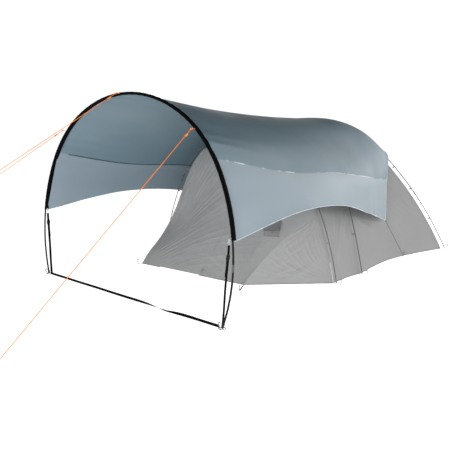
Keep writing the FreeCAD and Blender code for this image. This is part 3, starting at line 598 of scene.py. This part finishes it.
def guyline_knot(name, angle, route, material):
    """A bight of the line through the tab's ring, with its knot."""
    ring = lean(hoop_point(angle, 0.0, RING_Y)) + OFFSET
    out = lean(hoop_point(angle, 1.0)) - lean(hoop_point(angle, 0.0))
    along = (route[1] - route[0]) / np.linalg.norm(route[1] - route[0])
    turn = np.linspace(0, 2 * math.pi, 33)
    middle = (ring + route[0]) / 2
    reach = np.linalg.norm(route[0] - ring) / 2 + 0.004
    loop = middle + along * (np.cos(turn) * reach)[:, None] + out * (np.sin(turn) * 0.0045)[:, None]
    place(line_tube(f"guyline_{name}_bight", loop, BIGHT_RADIUS), material, "guyline", "hoop")
    wraps = np.linspace(0, 6 * math.pi, 60)
    side = np.cross(along, out)
    spiral = (route[0] + along * (0.002 + wraps / wraps[-1] * 0.016)[:, None]
              + out * (np.cos(wraps) * KNOT_RADIUS)[:, None] + side * (np.sin(wraps) * KNOT_RADIUS)[:, None])
    place(line_tube(f"guyline_{name}_knot", spiral, BIGHT_RADIUS), material, "guyline", "hoop")


def corner_cords(material):
    for side, word in SIDES:
        corner = canopy_grid([float(LAST)], [side * HEM])[0, 0]
        peg = np.array([TENT_X + side * 1.384, 3.835, 0.04])
        along = (peg - corner) / np.linalg.norm(peg - corner)
        start, end = corner + along * 0.026, peg - along * 0.005
        run = np.linalg.norm(end - start) / 3
        slack = np.array([side * 0.004, 0, -0.005])
        inner = [start + along * run + slack, start + along * run * 2 + slack * 1.2]
        route = np.array([start, *inner, end]) + OFFSET
        curve = place(cord_spline(f"corner_cord_{word}_line", route, CORNER_RADIUS), material,
                      "corner_cord", "tent", f"corner_cord_{word}")
        length = round(float(distances(sampled(route))[-1]), 3)


# -------- canopy
CLOTH_THICKNESS, HEM_RADIUS = 0.0012, 0.004


def canopy_relief(stations, columns):
    """Slight waves where the cloth is drawn towards the hoop, the hems and the rear corners."""
    s, c = np.meshgrid(stations / LAST, columns / HEM, indexing="ij")
    front = np.exp(-s * 14) * np.sin(c * 58 + 2.0 * np.sin(c * 9)) * 0.0022
    rear = np.exp(-(1 - s) * 9) * np.sin(c * 31 + 1.5) * 0.003
    along = np.sin(s * 8.5 + c * 5.0) * 0.004 * np.cos(c * 1.3)
    hem = np.exp(-(1 - np.abs(c)) * 16) * np.sin(s * 46 + 2 * np.sin(s * 11)) * 0.003
    return (front + rear + along + hem) * np.clip((s + 0.01) * 40, 0, 1)


def canopy(materials):
    stations = np.linspace(CANOPY_FRONT, LAST, 181)
    columns = np.linspace(-HEM, HEM, 241)
    points = relieved(canopy_grid(stations, columns), canopy_relief(stations, columns))
    obj = closed_sheet("canopy_cloth", points, CLOTH_THICKNESS)
    panels = ("canopy_roof_panel", "canopy_side_panel_left", "canopy_side_panel_right")
    place(obj, materials["canopy_cloth"], "canopy_cloth", None, *panels)
    color_side_panels(obj, materials["canopy_side"], stations, columns)
    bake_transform(obj)
    for side, word in SIDES:
        for level, face in ((1, "outer"), (-1, "inner")):
            canopy_seam(materials, stations, side, word, level, face)
    canopy_hems(materials["binding"], points)


def color_side_panels(obj, material, stations, columns):
    """Give the cloth outside the two long seams its own material: a lighter, greyer copy of the roof's cloth,
    which is painted light for the brighter wash that the lower panels catch.
    """
    obj.data.materials.append(material)
    middle = (columns[1:] + columns[:-1]) / 2
    on_side = np.tile(np.abs(middle) > SEAM, len(stations) - 1).astype(int)
    edges = np.zeros(len(obj.data.polygons) - 2 * len(on_side), int)
    obj.data.polygons.foreach_set("material_index", np.concatenate([on_side, on_side, edges]))


def canopy_seam(materials, stations, side, word, level, face):
    """A ribbon of seam tape over the join between roof and side panel."""
    width = 0.013 if level > 0 else 0.018
    middle_row = 60
    columns = side * SEAM + np.linspace(-width, width, 5)
    base = canopy_grid(stations[4:], columns)
    relief = canopy_relief(stations[4:], columns)
    outward = grid_normals(base)
    lift = level * 0.0014 * (1 if outward[middle_row, 2] @ UP > 0 else -1)
    points = base + outward * (relief + lift)[..., None]
    material = materials["seam_light" if level > 0 else "seam_dark"]
    ribbon = closed_sheet(f"canopy_seam_{word}_{face}", points, CLOTH_THICKNESS)
    place(ribbon, material, "canopy_cloth", None)
    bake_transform(ribbon)


def canopy_hems(material, points):
    """Binding folded over the canopy's side and rear edges."""
    lines = {"left": points[:, 0], "right": points[:, -1], "rear": points[-1]}
    for word, line in lines.items():
        binding = line_tube(f"canopy_hem_{word}", line + OFFSET, 0.0045, 6)
        place(binding, material, "canopy_cloth", None)
        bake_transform(binding)


SLEEVE_HALF, SLEEVE_THICK = 0.0285, 0.0145


def hoop_sleeve(material):
    """The pole sleeve: a flattened tube of cloth that puckers round the pole, with its seam behind."""
    angles = np.linspace(-82.0, 82.0, 420)
    turn = np.linspace(0, 2 * math.pi, 28, endpoint=False)
    rings = []
    for angle in angles:
        middle = hoop_point(angle, 0.0, 0.0155)
        out = hoop_point(angle, 1.0) - hoop_point(angle, 0.0)
        wave = 1.0 + 0.07 * math.sin(angle * 1.9) + 0.05 * math.sin(angle * 5.3 + 1.0)
        pucker = 0.0012 * np.sin(angle * 7.0 + 3 * np.sin(turn))
        across = np.sign(np.cos(turn)) * np.abs(np.cos(turn)) ** 0.8 * SLEEVE_HALF
        taper = 1 - 0.45 * np.clip(across / SLEEVE_HALF, 0, 1)
        thick = np.sin(turn) * SLEEVE_THICK * taper * wave + pucker
        rings.append(middle + out * thick[:, None] + np.array([0, 1.0, 0]) * across[:, None])
    rings = lean(np.array(rings)) + OFFSET
    place(ring_tube("hoop_sleeve_cloth", rings), material, "black_webbing", "hoop", "hoop_sleeve")


# -------- straps
STRAP_WIDTH, STRAP_THICKNESS = 0.028, 0.0018
TAIL_WIDTH, TAIL_LENGTH, TAIL_TOP = 0.027, 0.149, 0.6187
TWIST_START, TWIST_SHARE = 0.57, 0.36      # where the ground strap turns over, as shares of its length


def strap(name, path, wide, width, thickness, material, slot, body, *nodes):
    """Flat webbing along a path; wide is its width direction at each point."""
    path, wide = np.asarray(path, float), np.asarray(wide, float)
    across = np.linspace(-0.5, 0.5, 5) * width
    points = path[:, None] + wide[:, None] * across[None, :, None]
    return place(closed_sheet(name, points - OFFSET, thickness), material, slot, body, *nodes)


def leg_webbing(material):
    """The adjusting straps beside the hoop's legs, and their folded free ends."""
    foot_x = hoop_point(FOOT_ANGLE)[0]
    t = np.linspace(0, 1, 40)[:, None]
    wide = np.tile([0.0, 1.0, 0.0], (40, 1))
    for side, word in SIDES:
        low = np.array([side * (foot_x - 0.018), 0.023, 0.011])
        high = np.array([side * (HALF_WIDTH - 0.062), 0.005, 0.747])
        bow = np.array([side * 0.002, 0, 0]) * np.sin(t * math.pi * 3)
        line = lean(low + (high - low) * t + bow) + OFFSET
        nodes = ["leg_straps"] if side > 0 else []
        strap(f"leg_strap_{word}_webbing", line, wide, STRAP_WIDTH, STRAP_THICKNESS, material,
              "black_webbing", "hoop", *nodes)
        along = (high - low) / np.linalg.norm(high - low)
        top = low + along * (TAIL_TOP - low[2]) + np.array([-side * 0.0039, 0, 0])
        curl = np.array([-side * 0.006, 0, 0]) * t ** 3
        tail = lean(top - along * TAIL_LENGTH * t + curl) + OFFSET
        strap(f"leg_tail_{word}_webbing", tail, wide, TAIL_WIDTH, STRAP_THICKNESS, material,
              "black_webbing", f"buckle_{word}", f"leg_strap_tail_{word}")


def ground_webbing(material):
    """The strap between the hoop's feet, on its edge, with one half twist."""
    foot_x = hoop_point(FOOT_ANGLE)[0]
    half = foot_x - 0.0356
    u = np.linspace(0, 1, 260)
    t = np.clip((u - TWIST_START) / TWIST_SHARE, 0, 1)
    turn = math.pi / 2 + math.pi * t * t * (3 - 2 * t)
    wide = np.stack([np.zeros_like(u), np.cos(turn), np.sin(turn)], -1)
    wave = 0.0015 * np.sin(u * 23) * np.sin(u * math.pi)
    rise = 0.014 * np.abs(np.sin(turn)) + 0.001 * np.abs(np.cos(turn)) + 0.0008
    path = np.stack([-half + 2 * half * u, wave, rise], -1) + OFFSET
    strap("ground_strap_webbing", path, wide, STRAP_WIDTH, STRAP_THICKNESS, material, "black_webbing",
          "tent", "ground_strap")


def foot_loops(material):
    """Webbing from the tent's feet and corners to their pegs."""
    places = []
    for side in (-1, 1):
        places.append((foot(*VESTIBULE_FEET, side), (side, 0, 0), 0.045))
        places.append((foot(*FRONT_FEET, side), (side, 0, 0), 0.045))
        places.append((foot(*REAR_FEET, side), (side * 0.3, 0.95, 0), 0.033))
    places.append(((*PEG_LEFT[:2], 0.0), (-0.6, -0.8, 0), 0.04))
    places.append(((*PEG_RIGHT[:2], 0.0), (0.5, -0.866, 0), 0.235))
    for number, (start, out, reach) in enumerate(places):
        out = np.array(out, float) / np.linalg.norm(out)
        t = np.linspace(0, 1, 12)[:, None]
        rise = UP * (0.005 + 0.002 * np.sin(t * 3.1))
        path = np.array(start) + out * (0.010 + (reach - 0.017) * t) + rise
        wide = np.tile(np.cross(UP, out), (12, 1))
        nodes = ["tent_foot_loops"] if number == 0 else []
        strap(f"foot_loop_{number}", path + OFFSET, wide, 0.016, 0.002, material, "tent_webbing", "tent",
              *nodes)


# -------- tent cloth
FAN_REACH = 1.3


def fan(u, v, corner, count, phase):
    """Creases that spread from a corner at (u, v), strongest near it."""
    du, dv = u - corner[0], v - corner[1]
    angle = np.arctan2(dv, du)
    distance = np.hypot(du, dv)
    strength = np.clip(distance * 9, 0, 1) * np.clip(1 - distance / FAN_REACH, 0, 1)
    bend = 0.6 * np.sin(distance * 5 + phase)
    return np.sin(angle * count + phase + bend) * strength * np.clip(distance * 3, 0.15, 1)


def tension(us, vs, seed, height):
    """Creases drawn from the panel's corners, crossed by a few long diagonal ones."""
    rng = np.random.default_rng(seed)
    u, v = np.meshgrid(us, vs, indexing="ij")
    relief = np.zeros(u.shape)
    for corner in ((0, 0), (1, 0), (0, 1), (1, 1)):
        relief += fan(u, v, corner, rng.uniform(26, 44), rng.uniform(0, 6.3))
    for _ in range(4):
        slope, count, phase = rng.uniform(0.5, 1.4), rng.uniform(14, 30), rng.uniform(0, 6.3)
        band = np.exp(-((u * slope + v - rng.uniform(0.5, 1.2)) / 0.35) ** 2)
        relief += np.sin((u - v * slope) * count + phase + 1.5 * np.sin(3 * v + phase)) * band * 0.8
    edge = np.clip(10 * u * (1 - u), 0, 1) * np.clip(12 * v * (1 - v) + 0.05, 0, 1)
    return relief * edge * height


def spread_folds(us, vs, corner, size, turn_step):
    """Narrow sharp folds that spread from a point beyond a panel's corner; size is the panel's, signed."""
    u, v = np.meshgrid(us, vs, indexing="ij")
    wander = 0.006 * np.sin(9.0 * u + 5.0 * v) + 0.004 * np.sin(17.0 * v - 8.0 * u + 1.0)
    turn = np.arctan2((v - corner[1]) * size[1], (u - corner[0]) * size[0]) + wander
    crest = (1 - np.abs(np.sin(math.pi * turn / turn_step))) ** 1.5
    patch = 0.5 + 0.5 * np.sin(turn * 31.0 + 4.0 * u) * np.cos(7.0 * u - 3.0 * v)
    edge = np.clip(9 * u * (1 - u), 0, 1) * np.clip(9 * v * (1 - v) + 0.05, 0, 1)
    return crest * patch * edge


def tent_panel(name, nodes, points, material, slot="tent_cloth", body="tent", hole=None):
    obj = place(closed_sheet(name, points, 0.001, hole), material, slot, body, *nodes)
    return obj


def bottom_hem(name, line, material):
    """A folded hem along the lowest edge of a panel."""
    place(line_tube(name, line + OFFSET, HEM_RADIUS, 6), material, "tent_cloth", "tent")


# the heights of slight creases, where they aren't the usual 3 mm
WALL_CREASES = {"vestibule_wing_right": 0.0014, "flysheet_side_right": 0.002, "dome_wall_right": 0.002}
# where folds spread from, the panel's signed size, the turn between folds and their height
WALL_FOLDS = {
    "vestibule_wing_right": ((1.2, -0.12), (-1.0, 1.9), 0.07, 0.006),
    **dict.fromkeys(("flysheet_side_right", "flysheet_side_left"), ((-0.35, -0.1), (0.6, 2.0), 0.075, 0.014)),
    "dome_wall_right": ((1.12, -0.1), (-2.1, 2.0), 0.075, 0.017),
    "dome_wall_left": ((-0.12, -0.1), (2.1, 2.0), 0.075, 0.017),
}


def wall_panels(us, vs):
    """The middle surface of each wall panel, by the name of its node."""
    legs, tips = dome_legs(INSET, WALL_TOP), dome_legs(INSET, 0.35)
    panels = {
        "dome_wall_right": wall_grid(legs["front_right"], legs["rear_right"], WALL_SAG, us, vs),
        "dome_wall_rear": wall_grid(legs["rear_right"], legs["rear_left"], WALL_SAG, us, vs),
        "dome_wall_left": wall_grid(legs["rear_left"], legs["front_left"], WALL_SAG, us, vs),
        "vestibule_wing_left": wing_grid(-1, us, vs),
        "vestibule_wing_right": wing_grid(1, us, vs),
    }
    for side, word in ((1, "right"), (-1, "left")):
        arch_half = half_arch(VESTIBULE, side, side * 0.12, INSET)
        panels["flysheet_side_" + word] = wall_grid(arch_half, tips["front_" + word], 0.025, us, vs)
    left = panels["flysheet_side_left"]
    left += left_slack(left[0])[None] * (1 - us)[:, None, None]
    return panels


def tent_walls(materials):
    us, vs = np.linspace(0, 1, 101), np.linspace(0, 1, 141)
    for seed, (node, base) in enumerate(wall_panels(us, vs).items()):
        relief = tension(us, vs, seed, WALL_CREASES.get(node, 0.003))
        if node in WALL_FOLDS:
            *fold, height = WALL_FOLDS[node]
            relief += spread_folds(us, vs, *fold) * height
        points = relieved(base, relief)
        tent_panel(node + "_cloth", [node], points, materials["tent_cloth"])
        bottom_hem(node + "_hem", points[:, 0], materials["tent_hem"])


def vent_frame():
    """The vent's middle, its outward normal, its level direction and the direction down the cloth."""
    s, v = (np.array([p - 0.01, p, p + 0.01]) for p in VENT_PLACE)
    near = front_grid(s, v)
    out = np.cross(near[2, 1] - near[0, 1], near[1, 2] - near[1, 0])
    out /= np.linalg.norm(out)
    level = np.cross(UP, out)
    level /= np.linalg.norm(level)
    return near[1, 1], out, level, np.cross(level, out)


def front_relief(ss, vs):
    """The folds that spread from the left peg, fading towards the right one."""
    height = (0.008 - 0.0065 * ss)[:, None]
    return spread_folds(ss, vs, (-0.3, -0.22), (1.7, 1.5), 0.047) * height + tension(ss, vs, 21, 0.0012)


# each fixed strip round the door: its range along the front and up it, and its mesh columns and rows
FRONT_STRIPS = {
    "vestibule_front_left": ((0.0, DOOR_LEFT), (0, 1), 50, 200),
    "vestibule_front_top": ((DOOR_LEFT, DOOR_RIGHT), (DOOR_TOP, 1), 90, 60),
    "vestibule_front_right": ((DOOR_RIGHT, 1.0), (0, 1), 90, 200),
}


def vestibule(materials):
    """The vestibule's front: fixed strips round the door, the door, its zip and the vent with its hood."""
    middle, out, level, down = vent_frame()
    vestibule_strips(materials, middle, level, down)
    vestibule_door(materials["tent_cloth"], out)
    front_zip(materials["zip"])
    vent_piping(materials["tent_hem"], middle + OFFSET, level, down)
    vent_hood(materials, middle + OFFSET, out, level, down)


def vestibule_strips(materials, middle, level, down):
    for name, (s_range, v_range, columns, rows) in FRONT_STRIPS.items():
        ss, vs = np.linspace(*s_range, columns), np.linspace(*v_range, rows)
        points = relieved(front_grid(ss, vs), front_relief(ss, vs))
        hole = None
        if name == "vestibule_front_right":
            centres = (points[1:, 1:] + points[:-1, :-1]) / 2 - middle
            hole = ((np.abs(centres @ level) < VENT_WIDTH / 2 - VENT_MARGIN)
                    & (np.abs(centres @ down) < VENT_HEIGHT / 2 - VENT_MARGIN))
        nodes = ["vestibule_front"] if name == "vestibule_front_left" else []
        tent_panel(name + "_cloth", nodes, points, materials["tent_cloth"], hole=hole)
        if v_range[0] == 0:
            bottom_hem(name + "_hem", points[:, 0], materials["tent_hem"])


def vestibule_door(material, out):
    """The door's cloth, tucked behind the strips along its zip and its top, and bent along its left edge."""
    ss, vs = np.linspace(DOOR_LEFT, DOOR_RIGHT + 0.004, 101), np.linspace(0.003, DOOR_TOP + 0.004, 158)
    tucked = np.maximum(np.clip((ss - 0.5) * 12, 0, 1)[:, None], np.clip((vs - 0.7) * 15, 0, 1)[None])
    tucked = tucked * np.clip((ss - DOOR_LEFT) * 40, 0, 1)[:, None]
    points = relieved(front_grid(ss, vs), front_relief(ss, vs)) - out * DOOR_TUCK * tucked[..., None]
    door = tent_panel("vestibule_door_cloth", ["vestibule_door"], points, material, body=None)
    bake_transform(door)


def front_zip(material):
    """The door's zip: tape, its two rows of teeth as one bead, in front of the cloth."""
    ss = np.linspace(DOOR_RIGHT + 0.007, DOOR_RIGHT + 0.018, 5)
    vs = np.linspace(0.01, DOOR_TOP, 120)
    base = front_grid(ss, vs)
    normals = grid_normals(base)
    tape = base + normals * 0.003
    sheet = closed_sheet("door_zip_tape_cloth", tape, CLOTH_THICKNESS)
    place(sheet, material, "zip", "tent", "door_zip_tape")
    teeth = base[2] + normals[2] * 0.0046
    place(line_tube("door_zip_teeth", teeth + OFFSET, 0.0016, 6), material, "zip", "tent")


def vent_piping(material, middle, level, down):
    """Piping round the edge of the vent's mesh."""
    wide, high = VENT_WIDTH / 2, VENT_HEIGHT / 2
    corners = [(-wide, -high), (wide, -high), (wide, high), (-wide, high), (-wide, -high)]
    line = []
    for (a, b), (c, d) in zip(corners, corners[1:]):
        for t in np.linspace(0, 0.95, 16):
            line.append(middle + level * (a + (c - a) * t) + down * (b + (d - b) * t))
    place(line_tube("vent_piping", np.array(line + [line[0]]), 0.0035, 6), material, "tent_cloth", "tent")


def vent_hood(materials, middle, out, level, down):
    """The stiffened hood over the vent, with its rim."""
    slope = down * math.cos(HOOD_ANGLE) + out * math.sin(HOOD_ANGLE)
    hinge = middle - down * (VENT_HEIGHT / 2 + 0.004) + out * 0.009
    t, w = np.linspace(0, 1, 24), np.linspace(-1, 1, 24)
    reach = 0.003 + HOOD_REACH * t
    half_width = VENT_WIDTH / 2 + 0.012 - 0.020 * t
    crown = -0.006 * np.sin(t * math.pi)[:, None] * (1 - w ** 2)[None]
    lift = np.cross(level, slope)
    points = (hinge + slope * reach[:, None, None] + level * (half_width[:, None] * w[None])[..., None]
              + lift * (0.001 - crown)[..., None])
    sheet = closed_sheet("vent_hood_cloth", points - OFFSET, 0.0016)
    place(sheet, materials["hood_cloth"], "tent_cloth", "hood", "vent_hood")
    rim = np.concatenate([points[:, 0], points[-1, 1:], points[-2::-1, -1]])
    place(line_tube("vent_hood_rim", rim, 0.0022, 6), materials["tent_hem"], "tent_cloth", "hood")


def crown_patch(material):
    """A round patch of cloth over the place where the dome's poles cross."""
    centre = DOME_A.point(np.array([CROSSING]), -INSET)[0] + np.array([0, 0, 0.008])
    radii, turn = np.linspace(0.002, 0.139, 16), np.linspace(0, 2 * math.pi, 49)
    r, a = np.meshgrid(radii, turn, indexing="ij")
    drop = -0.5 * r ** 2 / 1.2 + 0.0015 * np.sin(a * 12) * r / 0.14
    points = centre + np.stack([r * np.cos(a), r * np.sin(a), drop], -1)
    obj = closed_sheet("crown_patch_cloth", points, CLOTH_THICKNESS)
    place(obj, material, "tent_cloth", "tent", "crown_patch")


DOORWAY_HALF, DOORWAY_HEIGHTS = 0.6, (0.14, 1.14)


def inner_tent(materials):
    """The hanging inner tent with its doorway, and the floor with its raised edges."""
    legs = dome_legs(0.12, WALL_TOP)
    order = (("front_right", "rear_right"), ("rear_right", "rear_left"), ("rear_left", "front_left"),
             ("front_left", "front_right"))
    us, vs = np.linspace(0.01, 0.99, 61), np.linspace(0.01, 1, 71)
    for number, (first, second) in enumerate(order):
        base = wall_grid(legs[first], legs[second], WALL_SAG * 0.9, us, vs)
        points = relieved(base, tension(us, vs, 40 + number, 0.004))
        hole = None
        if number == 3:
            middles = (points[1:, 1:] + points[:-1, :-1]) / 2
            low, high = DOORWAY_HEIGHTS
            in_height = (middles[..., 2] > low) & (middles[..., 2] < high)
            hole = (np.abs(middles[..., 0] - TENT_X) < DOORWAY_HALF) & in_height
        nodes = ["inner_tent"] if number == 0 else []
        tent_panel(f"inner_wall_{number}_cloth", nodes, points, materials["inner_cloth"], "inner_cloth",
                   hole=hole)
    tub_floor(materials["floor_cloth"])


def tub_floor(material):
    """The floor, with its edges turned up."""
    rows, columns = np.linspace(0, 1, 60), np.linspace(-1, 1, 60)
    v, u = np.meshgrid(rows, columns, indexing="ij")
    inside = np.minimum(np.minimum(v, 1 - v) * 1.68, (1 - np.abs(u)) * 1.17)
    rise = 0.088 * np.clip(1 - inside / 0.045, 0, 1) ** 0.8
    half = 1.118 + 0.1 * v
    ruck = 0.0012 * (1 + np.sin(u * 17 + 4 * np.sin(v * 7)))
    points = np.stack([TENT_X + half * u, 2.792 + 1.676 * v, 0.0015 + rise + ruck], -1)
    obj = closed_sheet("tub_groundsheet_cloth", points, 0.001)
    place(obj, material, "floor_cloth", "tent", "tub_groundsheet")


# -------- materials by slot, and the assembly
# colour, roughness, threads, bump, and where they aren't the usual: colour change, sheen, crease, specular
WOVEN = {
    "canopy_cloth": ((0.115, 0.18, 0.22), 0.42, 900.0, 0.02, 0.02, 0.0, 0.0, 0.6),
    # canopy_side is the roof's cloth painted lighter and greyer: painted light for the brighter wash on the
    # lower side panels
    "canopy_side": ((0.185, 0.245, 0.29), 0.42, 900.0, 0.02, 0.02, 0.25, 0.0, 0.8),
    "tent_cloth": ((0.27, 0.27, 0.27), 0.55, 700.0, 0.12, 0.05, 0.1, 0.35, 0.4),
    "hood_cloth": ((0.24, 0.24, 0.24), 0.55, 700.0, 0.12, 0.05, 0.1, 0.2),
    "inner_cloth": ((0.5, 0.5, 0.52), 0.75, 600.0, 0.15, 0.05, 0.15, 0.3),
    "floor_cloth": ((0.1, 0.11, 0.12), 0.5, 500.0, 0.2, 0.05, 0.15, 0.3),
    "black_webbing": ((0.0025, 0.0025, 0.003), 0.8, 300.0, 0.5, 0.2, 0.0, 0.0, 0.03),
    "pale_webbing": ((0.5, 0.58, 0.62), 0.6, 300.0, 0.5, 0.1),
    "tent_webbing": ((0.3, 0.3, 0.3), 0.6, 300.0, 0.5, 0.1),
    "guyline": ((1.0, 0.25, 0.015), 0.9, 250.0, 0.6, 0.1, 0.0, 0.0, 0.1),
    "corner_cord": ((0.005, 0.005, 0.006), 0.6, 250.0, 0.6, 0.2),
    "elastic": ((0.02, 0.02, 0.02), 0.6, 250.0, 0.5, 0.2),
    "mesh": ((0.19, 0.19, 0.19), 0.7, 150.0, 0.8, 0.2),
    "zip": ((0.27, 0.27, 0.27), 0.55, 300.0, 0.4, 0.1),
}
TAPES = {                                  # where the tape lies flat, and the pale colour painted on as highlights where it puckers
    "seam_light": ((0.2, 0.265, 0.31), (0.62, 0.68, 0.71)),
    "seam_dark": ((0.03, 0.05, 0.065), (0.06, 0.09, 0.11)),
    "binding": ((0.5, 0.6, 0.66), (0.75, 0.82, 0.86)),
    "tent_hem": ((0.2, 0.2, 0.2), (0.36, 0.36, 0.36)),
}
HARD = {                                   # colour, roughness, metallic, and specular if it isn't 0.5
    "pole_black": ((0.003, 0.003, 0.004), 0.5, 0.0, 0.15),
    "pole_grey": ((0.085, 0.085, 0.087), 0.5, 0.0, 0.3),
    "ferrule": ((0.09, 0.09, 0.092), 0.45, 1.0),
    "steel_wire": ((0.12, 0.12, 0.122), 0.5, 0.8),
    "rubber_cap": ((0.006, 0.006, 0.006), 0.8, 0.0),
    "black_plastic": ((0.005, 0.005, 0.005), 0.5, 0.0, 0.2),
    "orange_plastic": ((1.0, 0.24, 0.02), 0.5, 0.0),
    "grey_plastic": ((0.14, 0.14, 0.14), 0.5, 0.0),
}


def all_materials():
    kinds = ((weave_material, WOVEN), (seam_material, TAPES), (plain_material, HARD))
    return {name: make(name, *values) for make, table in kinds for name, values in table.items()}


def dress_hard_parts(materials):
    """Each node takes the material of its slot; the guylines' tabs and runners are orange."""
    for part in frame["record"]["subparts"]:
        orange = part["node"].startswith(("guyline_runner", "guyline_tabs"))
        dress(frame["nodes"][part["node"]], materials["orange_plastic" if orange else part["material_slot"]])


camera()
surroundings()
materials = all_materials()
dress_hard_parts(materials)
guylines(materials["guyline"])
corner_cords(materials["corner_cord"])
canopy(materials)
hoop_sleeve(materials["black_webbing"])
leg_webbing(materials["black_webbing"])
ground_webbing(materials["black_webbing"])
foot_loops(materials["tent_webbing"])
tent_walls(materials)
vestibule(materials)
crown_patch(materials["tent_cloth"])
inner_tent(materials)
